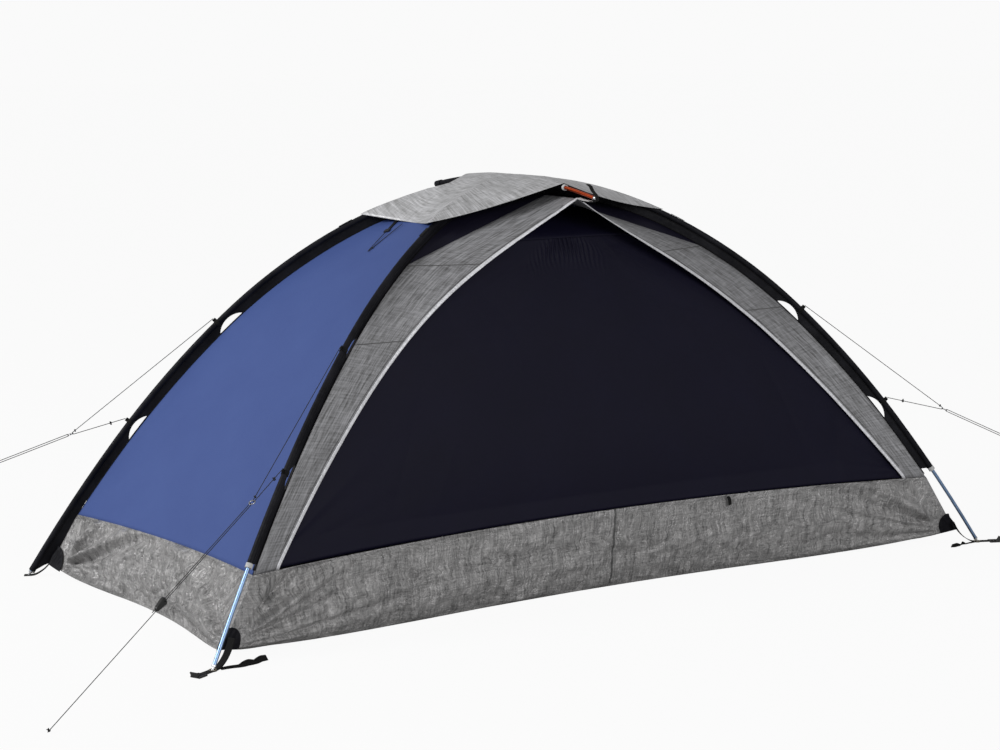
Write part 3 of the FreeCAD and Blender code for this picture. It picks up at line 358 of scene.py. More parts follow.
def panel(node, grid, material, slot, thick=CLOTH):
    """A sheet of cloth in the place of a CAD node."""
    return finished(cloth(node + "_cloth", grid, material, thick), slot, node)


def declare(obj, cut=None):
    """Takes a sheet's cut, its flat width and length, as given or as kept in CUTS, and does nothing more with
    it. The cut's width and length are scaled up where they give less than that. Stretched cloth is cut to the
    shape it holds."""
    cut = cut or CUTS[obj.name]


def ribbon(name, path, normals, width, thick, material):
    """A strip of webbing, tape or hem along a path, lying across its normals, with rounded edges."""
    path, normals = np.asarray(path, float), np.asarray(normals, float)
    tangent = unit(np.gradient(path, axis=0))
    normals = unit(normals - (normals * tangent).sum(1, keepdims=True) * tangent)
    side = np.cross(normals, tangent)
    outline = [(-0.5, 0), (-0.46, 1), (-0.25, 1), (0, 1), (0.25, 1), (0.46, 1), (0.5, 0)]
    outline += [(0.46, -1), (0.25, -1), (0, -1), (-0.25, -1), (-0.46, -1)]
    rows, count = len(path), len(outline)
    rails = [path + side * (across * width) + normals * (up * thick / 2) for across, up in outline]
    faces = grid_faces(rows, count, tube=True)
    faces += [tuple(range(count))[::-1], tuple((rows - 1) * count + j for j in range(count))]
    lengths = np.concatenate([[0], np.linalg.norm(np.diff(path, axis=0), axis=1).cumsum()])
    uv = np.stack([np.repeat(lengths, count), np.tile([a * width for a, _ in outline], rows)], -1)
    return mesh_object(name, np.stack(rails, 1).reshape(-1, 3), faces, material, uv)


def seam_tape(name, path, normals, width, material, slot):
    """A thin tape sewn along a seam."""
    return finished(ribbon(name, path + unit(normals) * 0.001, normals, width, 0.0016, material), slot)


def joined(name, objects):
    """Several new meshes as one object."""
    vertices, faces, uvs, start = [], [], [], 0
    for o in objects:
        mesh = o.data
        vertices += [tuple(v.co) for v in mesh.vertices]
        faces += [tuple(start + i for i in p.vertices) for p in mesh.polygons]
        flat = np.zeros((len(mesh.vertices), 2))
        if mesh.uv_layers:
            for loop in mesh.loops:
                flat[loop.vertex_index] = mesh.uv_layers[0].data[loop.index].uv
        uvs.append(flat)
        start += len(mesh.vertices)
    whole = mesh_object(name, vertices, faces, objects[0].data.materials[0], np.concatenate(uvs))
    for o in objects:
        bpy.data.objects.remove(o)
    return whole


# ---- materials ----
def fill(tree, node, inputs):
    """Sets a node's inputs: a socket is linked, and any other value is set."""
    for key, value in inputs.items():
        if isinstance(value, bpy.types.NodeSocket):
            tree.links.new(value, node.inputs[key])
        else:
            node.inputs[key].default_value = value


def add_node(tree, kind, inputs, output=0):
    """The output of a new shader node, with its inputs filled."""
    node = tree.nodes.new("ShaderNode" + kind)
    fill(tree, node, inputs)
    return node.outputs[output]


class Look:
    """A new material, its node tree and its Principled shader."""

    def __init__(self, name, colour, roughness, metallic=0.0, sheen=0.0, specular=0.5):
        self.material = bpy.data.materials.new(name)
        self.material.use_nodes = True
        self.tree = self.material.node_tree
        self.surface = self.tree.nodes["Principled BSDF"]
        self.set({"Base Color": (*colour, 1), "Roughness": roughness, "Metallic": metallic})
        self.set({"Sheen Weight": sheen, "Specular IOR Level": specular})

    def set(self, inputs):
        fill(self.tree, self.surface, inputs)

    def place(self, scale, coordinates="UV"):
        """Coordinates ("UV" or "Object") stretched by scale, which is one number or three."""
        scale = scale if isinstance(scale, tuple) else (scale,) * 3
        source = add_node(self.tree, "TexCoord", {}, coordinates)
        return add_node(self.tree, "Mapping", {"Vector": source, "Scale": scale}, "Vector")

    def noise(self, scale, detail, rough=0.55, warp=0.0, coordinates="UV"):
        inputs = {"Vector": self.place(scale, coordinates), "Scale": 1, "Detail": detail}
        return add_node(self.tree, "TexNoise", inputs | {"Roughness": rough, "Distortion": warp}, "Fac")

    def math(self, operation, *values):
        result = add_node(self.tree, "Math", dict(enumerate(values)))
        result.node.operation = operation
        return result

    def span(self, value, low, high, new_low, new_high):
        ends = {"From Min": low, "From Max": high, "To Min": new_low, "To Max": new_high}
        return add_node(self.tree, "MapRange", {"Value": value} | ends, "Result")

    def tint(self, value, *stops):
        """Colours the surface by value, between two stops of (place, colour)."""
        colours = add_node(self.tree, "ValToRGB", {"Fac": value}, "Color")
        for element, (where, colour) in zip(colours.node.color_ramp.elements, stops):
            element.position, element.color = where, (*colour, 1)
        self.set({"Base Color": colours})

    def roughen(self, value, low, high):
        self.set({"Roughness": self.span(value, 0.3, 0.7, low, high)})

    def bump(self, height, strength, distance):
        """Adds a bump, on top of any that the surface has."""
        inputs = {"Height": height, "Strength": strength, "Distance": distance}
        before = self.surface.inputs["Normal"].links
        if before:
            inputs["Normal"] = before[0].from_socket
        self.set({"Normal": add_node(self.tree, "Bump", inputs, "Normal")})


def grey(value, tint=(1.0, 1.0, 1.0)):
    return tuple(value * k for k in tint)


def laminate(name, dark, light, crumple, roughness, few=20, many=230):
    """Silver-grey film laminate: a scrim of threads both ways under a film that crumples."""
    look = Look(name, grey(0.25), roughness, metallic=0.25, specular=0.6)
    long_threads, cross_threads = look.noise((many, few, 1), 3, 0.65), look.noise((few, many, 1), 3, 0.6)
    clouds, streaks = look.noise(9, 3, 0.6), look.noise((70, few / 4, 1), 4, 0.6)
    threads = look.math("MULTIPLY_ADD", cross_threads, 0.5, long_threads)
    tone = look.math("MULTIPLY_ADD", streaks, 0.45, look.math("MULTIPLY_ADD", clouds, 0.25, threads))
    look.tint(look.span(tone, 0.85, 1.32, 0.0, 1.0), (0.0, dark), (1.0, light))
    crinkle = look.noise(42, 6, 0.62, 0.6)
    look.roughen(crinkle, roughness - 0.12, roughness + 0.14)
    look.bump(crinkle, crumple, 0.008)
    look.bump(look.noise(120, 3, 0.6, 1.2), crumple, 0.003)
    look.bump(threads, 0.35, 0.0006)
    return look.material


def coated_cloth(name, colour, shade, roughness=0.6, crumple=0.2):
    """Thin, tightly woven coated cloth with slight tone changes."""
    look = Look(name, colour, roughness, specular=0.18)
    slubs = look.math("MULTIPLY", look.noise((40, 700, 1), 2, 0.5), 0.3)
    look.tint(look.math("MULTIPLY_ADD", look.noise(5, 4, 0.6), 0.7, slubs), (0.3, shade), (0.7, colour))
    weave = add_node(look.tree, "TexChecker", {"Vector": look.place(2200), "Scale": 1}, "Fac")
    look.bump(look.noise(22, 5, 0.6), crumple, 0.004)
    look.bump(weave, 0.15, 0.0003)
    return look.material


def woven_strap(name, colour, light, coordinates="Object"):
    """Narrow webbing: ribs across its length, a little paler on the ribs."""
    look = Look(name, colour, 0.7, sheen=0.02, specular=0.15)
    inputs = {"Vector": look.place((900, 520, 520), coordinates), "Scale": 1, "Distortion": 1.2, "Detail": 2}
    ribs = add_node(look.tree, "TexWave", inputs, "Fac")
    fuzz = look.noise(900, 3, coordinates=coordinates)
    look.tint(look.math("MULTIPLY", ribs, fuzz), (0.1, colour), (0.8, light))
    look.bump(ribs, 0.5, 0.0006)
    look.bump(fuzz, 0.3, 0.0004)
    return look.material


def sleeve_cloth(name):
    """Black coated sleeve cloth, puckered along its seams."""
    look = Look(name, grey(0.006), 0.6, specular=0.12)
    pucker = look.noise(60, 5, 0.6, 0.4, "Object")
    dust = look.noise(14, 4, 0.6, coordinates="Object")
    look.tint(dust, (0.35, (0.004, 0.004, 0.006)), (0.7, (0.013, 0.013, 0.017)))
    look.roughen(pucker, 0.42, 0.68)
    look.bump(pucker, 0.5, 0.004)
    return look.material


def metal(name, colour, roughness, grain=(600, 600, 40), grain_strength=0.12):
    """Drawn or turned metal with fine grain and handling marks."""
    look = Look(name, colour, roughness, metallic=1.0)
    marks = look.noise(25, 4, 0.6, coordinates="Object")
    look.tint(marks, (0.35, grey(0.82, colour)), (0.65, colour))
    look.roughen(marks, roughness - 0.05, roughness + 0.12)
    look.bump(look.noise(grain, 3, 0.6, coordinates="Object"), grain_strength, 0.0004)
    return look.material


def plastic(name, colour, roughness):
    """Moulded plastic with a fine texture and paler scuffs."""
    look = Look(name, colour, roughness)
    scuffs = look.noise(90, 5, 0.7, coordinates="Object")
    look.tint(scuffs, (0.5, colour), (0.8, tuple(c * 1.9 + 0.004 for c in colour)))
    look.bump(look.noise(1500, 2, coordinates="Object"), 0.25, 0.0003)
    return look.material


def braid(name, colour, light):
    """Braided cord: slanting strands in two directions."""
    look = Look(name, colour, 0.65, sheen=0.1, specular=0.3)
    waves = []
    for lean in (900, -900):
        inputs = {"Vector": look.place((900, lean, 900), "Object"), "Scale": 0.5}
        waves.append(add_node(look.tree, "TexWave", inputs, "Fac"))
        waves[-1].node.bands_direction = "DIAGONAL"
    strands = look.math("MAXIMUM", *waves)
    look.tint(strands, (0.2, colour), (1.0, light))
    look.bump(strands, 0.5, 0.0004)
    return look.material


COOL = (1, 1, 1.05)
GREY_BAND = laminate("silver_laminate_upper", grey(0.085), grey(0.40, COOL), 0.12, 0.5, 16, 210)
GREY_TUB = laminate("silver_laminate_tub", grey(0.12), grey(0.54, (1.02, 1, 1)), 1.0, 0.30)
# The roof cap's laminate is painted lighter than the bands': painted sunlight on the roof, which faces up into
# the light.
CAP_LAMINATE_PAINTED_LIT = laminate("silver_laminate_cap_painted_lit", grey(0.28), grey(0.68, (1, 1, 1.03)), 0.12, 0.5)
GREY_SEAM = laminate("silver_laminate_seam", grey(0.05), grey(0.16), 0.2, 0.6)
# The hem's laminate is painted almost white: the hem's own pale edge, and a painted highlight along its fold.
HEM_LAMINATE_PAINTED_HIGHLIGHT = laminate("silver_laminate_hem_painted_highlight", grey(0.55, COOL), grey(0.95, COOL), 0.2, 0.38)
BLUE = coated_cloth("blue_cloth", (0.066, 0.108, 0.30), (0.056, 0.092, 0.27), 0.62, 0.1)
DARK = coated_cloth("dark_cloth", (0.0036, 0.0029, 0.0160), (0.0026, 0.0021, 0.0120), crumple=0.18)
NAVY = coated_cloth("awning_cloth", (0.0080, 0.0066, 0.018), (0.005, 0.0045, 0.012))
BLACK_CLOTH = sleeve_cloth("black_cloth")
BLACK_WEB = woven_strap("black_webbing", grey(0.004), grey(0.018), "UV")
BLACK_WEB_CAD = woven_strap("black_webbing_cad", grey(0.004), grey(0.018))
BLACK_BIND = coated_cloth("black_binding", (0.006, 0.005, 0.006), (0.003, 0.003, 0.004))
WHITE_WEB = woven_strap("white_webbing", grey(0.55), grey(0.85))
POLE = metal("pole_alloy", (0.27, 0.40, 0.62), 0.34, (30, 30, 8), 0.01)
ORANGE = metal("ridge_alloy", (0.72, 0.10, 0.025), 0.32)
TURNED = metal("turned_alloy", (0.72, 0.73, 0.75), 0.28)
BRASS = metal("eyelet_metal", (0.55, 0.50, 0.40), 0.35)
STEEL = metal("ring_steel", (0.62, 0.62, 0.62), 0.25)
PLASTIC = plastic("black_plastic", grey(0.010), 0.42)
CORD = braid("guy_cord", grey(0.004), grey(0.022))
ELASTIC = braid("elastic_cord", grey(0.35), grey(0.7))
ZIP = woven_strap("zip_tape", grey(0.01), grey(0.04))

BY_SLOT = {
    "pole_alloy": POLE,
    "ridge_alloy": ORANGE,
    "ferrule_alloy": TURNED,
    "tip_alloy": TURNED,
    "shock_cord": ELASTIC,
    "blue_fabric": BLUE,
    "dark_fabric": DARK,
    "grey_fabric": GREY_TUB,
    "black_fabric": BLACK_CLOTH,
    "black_webbing": BLACK_WEB_CAD,
    "white_webbing": WHITE_WEB,
    "black_plastic": PLASTIC,
    "zip_tape": ZIP,
    "eyelet_brass": BRASS,
    "steel_ring": STEEL,
    "guy_cord": CORD,
}
for part in frame["record"]["subparts"]:
    node_object = frame["nodes"][part["node"]]
    node_object.data.materials.clear()
    node_object.data.materials.append(BY_SLOT[part["material_slot"]])

# ---- camera ----
VIEW_FROM = Vector((-3.241, -4.997, 1.3725))
YAW, PITCH, ROLL = 1.0016, -0.1466, -0.0074
ahead = Vector((math.cos(YAW) * math.cos(PITCH), math.sin(YAW) * math.cos(PITCH), math.sin(PITCH)))
level = Vector((math.sin(YAW), -math.cos(YAW), 0))
over = level.cross(ahead)
right = level * math.cos(ROLL) + over * math.sin(ROLL)
over = over * math.cos(ROLL) - level * math.sin(ROLL)
camera = bpy.data.objects.new("camera", bpy.data.cameras.new("camera"))
bpy.context.scene.collection.objects.link(camera)
turn = Matrix((right, over, -ahead)).transposed()
camera.matrix_world = Matrix.Translation(VIEW_FROM) @ turn.to_4x4()
camera.data.sensor_width = 36
camera.data.lens = 82.67
camera.data.clip_start, camera.data.clip_end = 0.05, 200
bpy.context.scene.camera = camera

# ---- guylines ----
CORD_D, RING_R, RING_WIRE, GAP = 0.0018, 0.007, 0.00125, 0.00035
BEND = RING_WIRE + CORD_D / 2 + GAP
GUY_HEIGHTS = (0.648, 0.396)
TENSIONER_AT = 0.359
GUYS = {
    "front_left": ((1.1153, 0.3508), (1.790, 0.0045), TENSIONER_AT + 0.030),
    "back_left": ((1.150, 0.3687), (1.385, 0.2826), None),
    "front_right": ((1.1676, 0.3694), (1.385, 0.268), None),
}

THIN = 0.002  # a curve's box is as much larger than its line as its points' radius, so that is kept small


def cord_object(node, route):
    """A cord along given points, as one smooth open spline in the place of a CAD node."""
    curve = bpy.data.curves.new(node, "CURVE")
    curve.dimensions = "3D"
    spline = curve.splines.new("NURBS")
    spline.points.add(len(route) - 1)
    for point, where in zip(spline.points, route):
        point.co = (*where, 1)
        point.radius = THIN
    spline.order_u = 3
    spline.use_endpoint_u = True
    curve.bevel_depth = CORD_D / 2 / THIN
    curve.bevel_resolution = 3
    curve.resolution_u = 10
    curve.materials.append(CORD)
    return finished(bpy.data.objects.new(node, curve), "guy_cord", node)


def knot(name, centre, size, aim, diameter=CORD_D, sides=8):
    """An overhand knot pulled tight: a closed trefoil of cord, turned so that its axis follows aim."""
    t = np.linspace(0, 2 * math.pi, 97)[:-1]
    loop = np.stack([np.sin(3 * t), np.sin(t) + 2 * np.sin(2 * t), np.cos(t) - 2 * np.cos(2 * t)], -1)
    turn = Vector((1, 0, 0)).rotation_difference(Vector(aim).normalized()).to_matrix()
    loop = (loop * size / 6) @ np.array(turn).T + np.asarray(centre)
    tangent = unit(np.roll(loop, -1, 0) - np.roll(loop, 1, 0))
    first = unit(np.cross(tangent, loop - np.asarray(centre)))
    second = np.cross(tangent, first)
    angles = 2 * math.pi * np.arange(sides) / sides
    wall = first[:, None] * np.cos(angles)[:, None] + second[:, None] * np.sin(angles)[:, None]
    vertices = (loop[:, None] + wall * diameter / 2).reshape(-1, 3)
    return finished(mesh_object(name, vertices, grid_faces(len(loop), sides, True, True), CORD), "guy_cord")


def route_length(obj):
    """The length of a cord's own smooth line."""
    depth = obj.data.bevel_depth
    obj.data.bevel_depth = 0
    line = bpy.data.meshes.new_from_object(obj)
    obj.data.bevel_depth = depth
    co = np.array([v.co for v in line.vertices])
    bpy.data.meshes.remove(line)
    return float(np.linalg.norm(np.diff(co, axis=0), axis=1).sum())


def declare_cord(obj, start):
    length = route_length(obj)


def around(centre, entry, leave, radius):
    """The two corners of a cord's route as it turns round a wire at centre, in (u, z)."""

    def tangent(point, sign):
        away = np.asarray(centre) - point
        swing = sign * math.asin(radius / np.hypot(*away))
        c, s = math.cos(swing), math.sin(swing)
        du, dz = unit(away)
        return np.array([du * c - dz * s, du * s + dz * c])

    inward, outward = tangent(entry, 1), tangent(leave, -1)
    far = unit(inward + outward)
    middle = np.asarray(centre) + far * radius
    return [p + d * ((middle - p) @ far / (d @ far)) for p, d in ((entry, inward), (leave, outward))]


def guyline(corner, ring, far, short):
    """A guyline in its leg's plane: a bridle from two ties on the sleeve, a ring, and a doubled line."""
    leg = LEGS[corner]
    ring, far = np.array(ring), np.array(far)
    line = unit(far - ring)
    aside = np.array([-line[1], line[0]])
    full = np.hypot(*(far - ring))
    ties = []
    for height in GUY_HEIGHTS:
        u, z, heading = leg.flat(leg.s_at_height(height))
        reach = SLEEVE_R + 0.007 + CORD_D / 2 + 0.0004
        ties.append(np.array([u + reach * math.sin(heading), z + reach * math.cos(heading)]))
    near_wire, far_wire = ring - line * RING_R, ring + line * RING_R
    turn_points = around(near_wire, ties[0], ties[1], BEND)
    close = 6 * CORD_D
    before = turn_points[0] + unit(ties[0] - turn_points[0]) * close
    after = turn_points[1] + unit(ties[1] - turn_points[1]) * close
    bridle_route = [ties[0], before, *turn_points, after, ties[1]]
    bridle = cord_object(f"guy_bridle_{corner}", [leg.place(*p) for p in bridle_route])

    top = far_wire - line * BEND
    short = short or full - 0.004
    line_route = [
        ring + line * short + aside * BEND,
        top + line * close + aside * BEND,
        top + aside * BEND,
        top - aside * BEND,
        top + line * close - aside * BEND,
        ring + line * full - aside * BEND,
    ]
    rope = cord_object(f"guy_line_{corner}", [leg.place(*p) for p in line_route])

    end_at = leg.place(*(ring + line * (full - 0.004)))
    end_knot = knot(f"guy_end_knot_{corner}", end_at, 0.008, leg.place(*line))
    towards = leg.place(*unit(ties[1] - turn_points[1]))
    for i, (where, size) in enumerate(((mix(ties[1], turn_points[1], 0.28), 0.009), (before, 0.006))):
        knot(f"guy_tie_knot_{corner}_{i}", leg.place(*where), size, towards, CORD_D * 1.1)
    declare_cord(bridle, leg.place(*ties[0]))
    declare_cord(rope, leg.place(*line_route[0]))


for corner, (ring, far, short) in GUYS.items():
    guyline(corner, ring, far, short)


# ---- tub walls ----
CALM, FADE = 0.046, 0.030  # the cloth is flat this near to a corner, and its folds grow over this much more


def tub_wall(name, foot, seam, seed, columns, mirror_axis=None, rows=52):
    """A tub wall, crumpled like film-faced cloth, with folds that fan out of its two pulled corners."""
    t = np.linspace(-1, 1, columns)
    share = np.linspace(0, 1, rows)[:, None]
    grid = mix(foot(t)[None], seam(t)[None], share[..., None])
    u, v = flat_lengths(grid)
    inside = 1 - np.abs(t) ** 10
    height = creases(u, v, seed, 230, 0.10, 0.0046, 0.007)
    height += creases(u, v, seed + 1, 700, 0.040, 0.0032, 0.0040)
    height += 0.0060 * soft_noise(u, v, 0.09, seed + 2) + 0.0026 * soft_noise(u, v, 0.020, seed + 3)
    height = height * inside + 0.014 * np.sin(math.pi * share**0.6) * inside
    for corner, shift, aims in ((u[0, 0], 4, (0.05, 1.3)), (u[0, -1], 5, (math.pi - 1.3, math.pi - 0.05))):
        height += fan(u, v, (corner, 0.0), 30, 0.42, 0.0150, seed + shift, aims)
    height *= np.clip((np.minimum(u - u[:, :1], u[:, -1:] - u) - CALM) / FADE, 0, 1)
    grid = pushed(grid, height, 0.012)
    grid[0, :, 2] = np.maximum(grid[0, :, 2], 0.0005)
    if mirror_axis is not None:
        grid = grid[:, ::-1].copy()
        grid[..., mirror_axis] *= -1
    return panel(name, grid, GREY_TUB, "grey_fabric"), grid


def turned(curve):
    """A curve run through from its other end."""
    return lambda t: curve(-t)


front_tub, front_tub_grid = tub_wall("tub_wall_front", side_foot, side_seam, 11, 460)
left_tub, _ = tub_wall("tub_wall_left", turned(end_foot), turned(end_seam), 31, 230)
back_tub, _ = tub_wall("tub_wall_back", side_foot, side_seam, 51, 460, mirror_axis=1)
right_tub, _ = tub_wall("tub_wall_right", turned(end_foot), turned(end_seam), 71, 230, mirror_axis=0)
CROSS_SEAM = 234
cross_path, cross_out = (g[2:, CROSS_SEAM] for g in (front_tub_grid, grid_normals(front_tub_grid)))
seam_tape("tub_front_cross_seam", cross_path, cross_out * [-1, 1, -1], 0.005, GREY_SEAM, "grey_fabric")


# ---- end walls, and the trim along the legs ----
def end_wall(name, mirror=False, seed=90):
    t = np.linspace(0.996, -0.996, 120)
    share = np.linspace(0, 1, 130)[:, None]
    s = mix(end_seam_s(t)[None], WALL_TOP_S, share)
    grid = end_wall_point(s, t[None])
    grid[..., 2] += END_SEAM_RISE * (1 - t**2)[None] * np.exp(-share / 0.03)
    a, b = flat_lengths(grid)
    height = 0.0022 * soft_noise(a, b, 0.30, seed) + 0.0008 * soft_noise(a, b, 0.09, seed + 1)
    height += creases(a, b, seed + 2, 14, 0.22, 0.0010, 0.012)
    for corner in (a[0, 0], a[0, -1]):
        height += fan(a, b, (corner, 0.0), 26, 0.22, 0.0022, seed + 3)
    grid = pushed(grid, height, 0.03)
    if mirror:
        grid = grid[:, ::-1].copy()
        grid[..., 0] *= -1
    return panel(name, grid, BLUE, "blue_fabric")


left_wall = end_wall("end_wall_left")
right_wall = end_wall("end_wall_right", True, 120)


def leg_trim(corner, steps=120):
    """The dark binding on a leg's seam, and the ribbon that closes its sleeve between tube and web."""
    front = "front" in corner
    leg, below = LEGS[corner], Leg(corner)
    s = np.linspace(0.05, float(SEAM.s_at_height(TUB_Z + (0.01 if front else -0.03), SEAM_GAP)), 90)
    headings = below.flat(s)[2]
    away = np.multiply.outer(np.sin(headings), below.out) + np.multiply.outer(np.cos(headings), UP)
    seam_tape(f"leg_binding_{corner}", below.at(s, SEAM_GAP), away, 0.008, BLACK_BIND, "black_fabric")
    s = np.linspace(0.076, float(leg.s_at_height(0.214 if front else 0.012)), steps)
    across = np.tile(leg.side, (steps, 1))
    closing = ribbon(f"sleeve_seam_{corner}", leg.at(s, 0.0077), across, 0.0042, 0.0020, BLACK_BIND)
    finished(closing, "black_fabric")


for corner in LEGS:
    leg_trim(corner)


# ---- storm flaps, awning ----
JOIN = float(np.interp(AWNING_JOIN_Z, HEM_TABLE[:, 2], HEM_T))


def flap_grid(rows=220, columns=40):
    """The front right flap, from the leg seam and, above it, the awning's line in to the hem."""
    t = np.linspace(0, 1, rows)
    inner = hem_at(t) * np.array([1, -1, 1])
    z = np.maximum(inner[:, 2], TUB_Z)
    sx, sy = seam_at(z)
    on_seam = points(sx, -sy, z)
    on_line = awning_edge(np.clip((t - JOIN) / (1 - JOIN), 0, 1))
    outer = np.where((t < JOIN)[:, None], on_seam, on_line)
    share = np.linspace(0.0, 1, columns)[None, :, None]
    return mix(outer[:, None], inner[:, None], share)


def placed(grid, side, back):
    """A front right grid moved to its side (1 right, -1 left), and to the back of the tent."""
    flips = (side < 0) + back
    grid = grid * np.array([side, -1 if back else 1, 1])
    return grid[:, ::-1] if flips % 2 else grid

CROSS_ROWS = (84, 146)  # the rows of a flap's grid that its cross seams follow


def flap(side, back, seed):
    grid = flap_grid()
    u, v = flat_lengths(grid)
    height = 0.0016 * soft_noise(u, v, 0.10, seed) + creases(u, v, seed + 1, 50, 0.09, 0.0010, 0.006)
    height += creases(u, v, seed + 2, 16, 0.16, 0.0016, 0.008, (math.pi / 2, 0.25))
    tip = v / v.max(0)
    gathers = np.sin(u * 2 * math.pi / 0.021 + 3 * soft_noise(u, v, 0.03, seed + 3))
    height += 0.0014 * gathers * np.exp(-(((tip - 0.965) / 0.045) ** 2)) * soft_noise(u, v, 0.05, seed + 4)
    height += fan(u, v, (u[0].max(), 0.0), 30, 0.12, 0.0016, seed + 5)
    grid = pushed(grid, np.minimum(height, 0.15 * height) - 0.0006, 0.012, "tbl")
    grid[0] += [0, -0.001, -0.004]
    grid = placed(grid, side, back)
    name = f"storm_flap_{'back' if back else 'front'}_{'left' if side < 0 else 'right'}"
    sheet = panel(name, grid, GREY_BAND, "grey_fabric")
    edge, inside = (0, 1) if (side < 0) != back else (-1, -2)
    out = grid_normals(grid)
    out *= np.sign(out[..., 1:2] * (1 if back else -1))
    inward = unit(grid[:, inside] - grid[:, edge])
    tuck = grid[:, edge] + inward * 0.0035 + out[:, edge] * 0.0006
    # The hem ribbon carries a painted highlight along the flap's folded edge.
    hem = finished(ribbon(name + "_hem", tuck, out[:, edge], 0.0085, 0.0022, HEM_LAMINATE_PAINTED_HIGHLIGHT), "grey_fabric")
    along = (grid[:, edge] + inward * 0.015 + out[:, edge] * 0.0005)[4:-8]
    lines = [ribbon("stitch", along, out[4:-8, edge], 0.0016, 0.001, GREY_SEAM)]
    for row in CROSS_ROWS:
        path = grid[row, 1:-1] + out[row, 1:-1] * 0.0004
        lines.append(ribbon("seam", path, out[row, 1:-1], 0.0022, 0.001, GREY_SEAM))
    finished(joined(name + "_seams", lines), "grey_fabric")
    declare(sheet)


def whole_cloth(name, sheets, slot, thick):
    """Several sheets as one piece in the place of a CAD node."""
    return finished(thickened(joined(name + "_cloth", sheets), thick), slot, name)


def shoulder_grid(rows=60, columns=60):
    share = np.linspace(0.0, 1, rows)
    leg_side = SEAM.at(mix(float(SEAM.s_at_height(AWNING_JOIN_Z, SEAM_GAP)), 0.03, share), SEAM_GAP)
    across = np.linspace(0, 1, columns)[None, :, None]
    grid = mix(leg_side[:, None], awning_edge(share)[:, None], across)
    grid[..., 0] = np.maximum(grid[..., 0], 0.0009)
    return grid


def shoulders(back):
    name = "awning_panels_back" if back else "awning_panels_front"
    sheets = []
    for side in (-1, 1):
        grid = shoulder_grid()
        u, v = flat_lengths(grid)
        height = 0.003 * soft_noise(u, v, 0.07, 200 + side) + creases(u, v, 202 + side, 20, 0.1, 0.0016, 0.008)
        height -= 0.004 * np.sin(np.pi * np.clip(v / v.max(), 0, 1))
        grid = placed(pushed(grid, height, 0.03), side, back)
        sheets.append(cloth(f"{name}_{side}", grid, NAVY))
    width, length = CUTS[f"{name}_1"]
    declare(whole_cloth(name, sheets, "dark_fabric", CLOTH), (width, 2 * length))


for side in (-1, 1):
    for back in (False, True):
        flap(side, back, 300 + 10 * side + 100 * back)
shoulders(False)
shoulders(True)


# ---- door and the cloth round it ----
def door_depth(share, z):
    hem_y = hem_at_height(np.minimum(z, 0.880))[1]
    bow = DOOR_BOW * np.maximum(0.0, (0.450 - z) / 0.250) ** 2
    recess = 0.009 + 0.050 * np.maximum(0.0, (z - 0.600) / 0.275) ** 2
    return hem_y - bow * (1 - share**2) - recess


def door_face(top, top_rows, columns=260):
    """The door's cloth from the tub seam, over its fold, up to a height."""
    t = np.linspace(-1, 1, columns)

    def level(z):
        return points((hem_at_height(z)[0] + DOOR_OVERLAP) * t, -door_depth(t, z), z)

    seam = side_seam(t * 0.955) + points(0, 0.004 + 0.007 * t**2, 0.001)
    sill = mix(seam[None], level(HINGE_Z - 0.002)[None], np.linspace(0, 1, 8)[:, None, None])
    return np.concatenate([sill, np.stack([level(z) for z in np.linspace(HINGE_Z, top, top_rows)])])


def door_folds(grid, seed):
    u, v = flat_lengths(grid)
    height = 0.0025 * soft_noise(u, v, 0.35, seed) + 0.0010 * soft_noise(u, v, 0.12, seed + 1)
    height += creases(u, v, seed + 2, 16, 0.30, 0.0012, 0.016, (math.pi / 2, 0.35))
    height += creases(u, v, seed + 3, 10, 0.25, 0.0012, 0.014, (0.0, 0.3))
    for corner in (u[0, 0], u[0, -1]):
        height += fan(u, v, (corner, 0.02), 44, 0.20, 0.0060, seed + 4)
    under_tip = np.exp(-(((v - 0.68) / 0.035) ** 2)) * np.clip(1 - np.abs(u) / 0.13, 0, 1)
    return height + 0.0035 * under_tip * np.sin(u * 2 * math.pi / 0.013 + 4 * soft_noise(u, v, 0.05, seed + 5))


door_grid = door_face(DOOR_TOP_Z, 130)
door = cloth("front_door_cloth", pushed(door_grid, door_folds(door_grid, 400), 0.012, "b"), DARK)
bpy.context.scene.collection.objects.link(door)
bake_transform(door)
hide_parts("front_door", "front_door_sill")
declare(door)


def wall_top(columns=60, rows=24):
    """The cloth above the door, which starts behind the door's top edge."""
    t = np.linspace(-1, 1, columns)
    half, depth = hem_at_height(DOOR_TOP_Z)[0] + DOOR_OVERLAP, door_depth(0.0, DOOR_TOP_Z)
    found = []
    for share in np.linspace(0, 1, rows):
        z = mix(DOOR_TOP_Z - 0.006, 0.935, share)
        found.append(points(mix(half, 0.150, share) * t, -mix(depth + 0.008, 0.118, share**1.5), z))
    return np.stack(found)


declare(panel("front_wall_top", wall_top(), DARK, "dark_fabric"))
back_face = np.concatenate([door_face(DOOR_TOP_Z, 90, 160), wall_top(160)[3:]])
back_face = placed(pushed(back_face, door_folds(back_face, 500), 0.03), 1, True)
declare(panel("back_wall", back_face, DARK, "dark_fabric"))
for obj in (front_tub, back_tub, left_tub, right_tub, left_wall, right_wall):
    declare(obj)


# ---- corners: patches, straps, loose tails ----
PATCH_REACH = 0.044
STRAP_W, STRAP_T, TAIL_W, TAIL_T = 0.020, 0.0016, 0.015, 0.0013
# u and z in the leg's upright plane, out to the pole's tip, and in front on to the buckle
STRAP_ROUTE = [
    (1.199, 0.060), (1.206, 0.045), (1.216, 0.030), (1.228, 0.018), (1.240, 0.010),
    (1.250, 0.005), (1.258, 0.003), (1.280, 0.003), (1.301, 0.003),
]
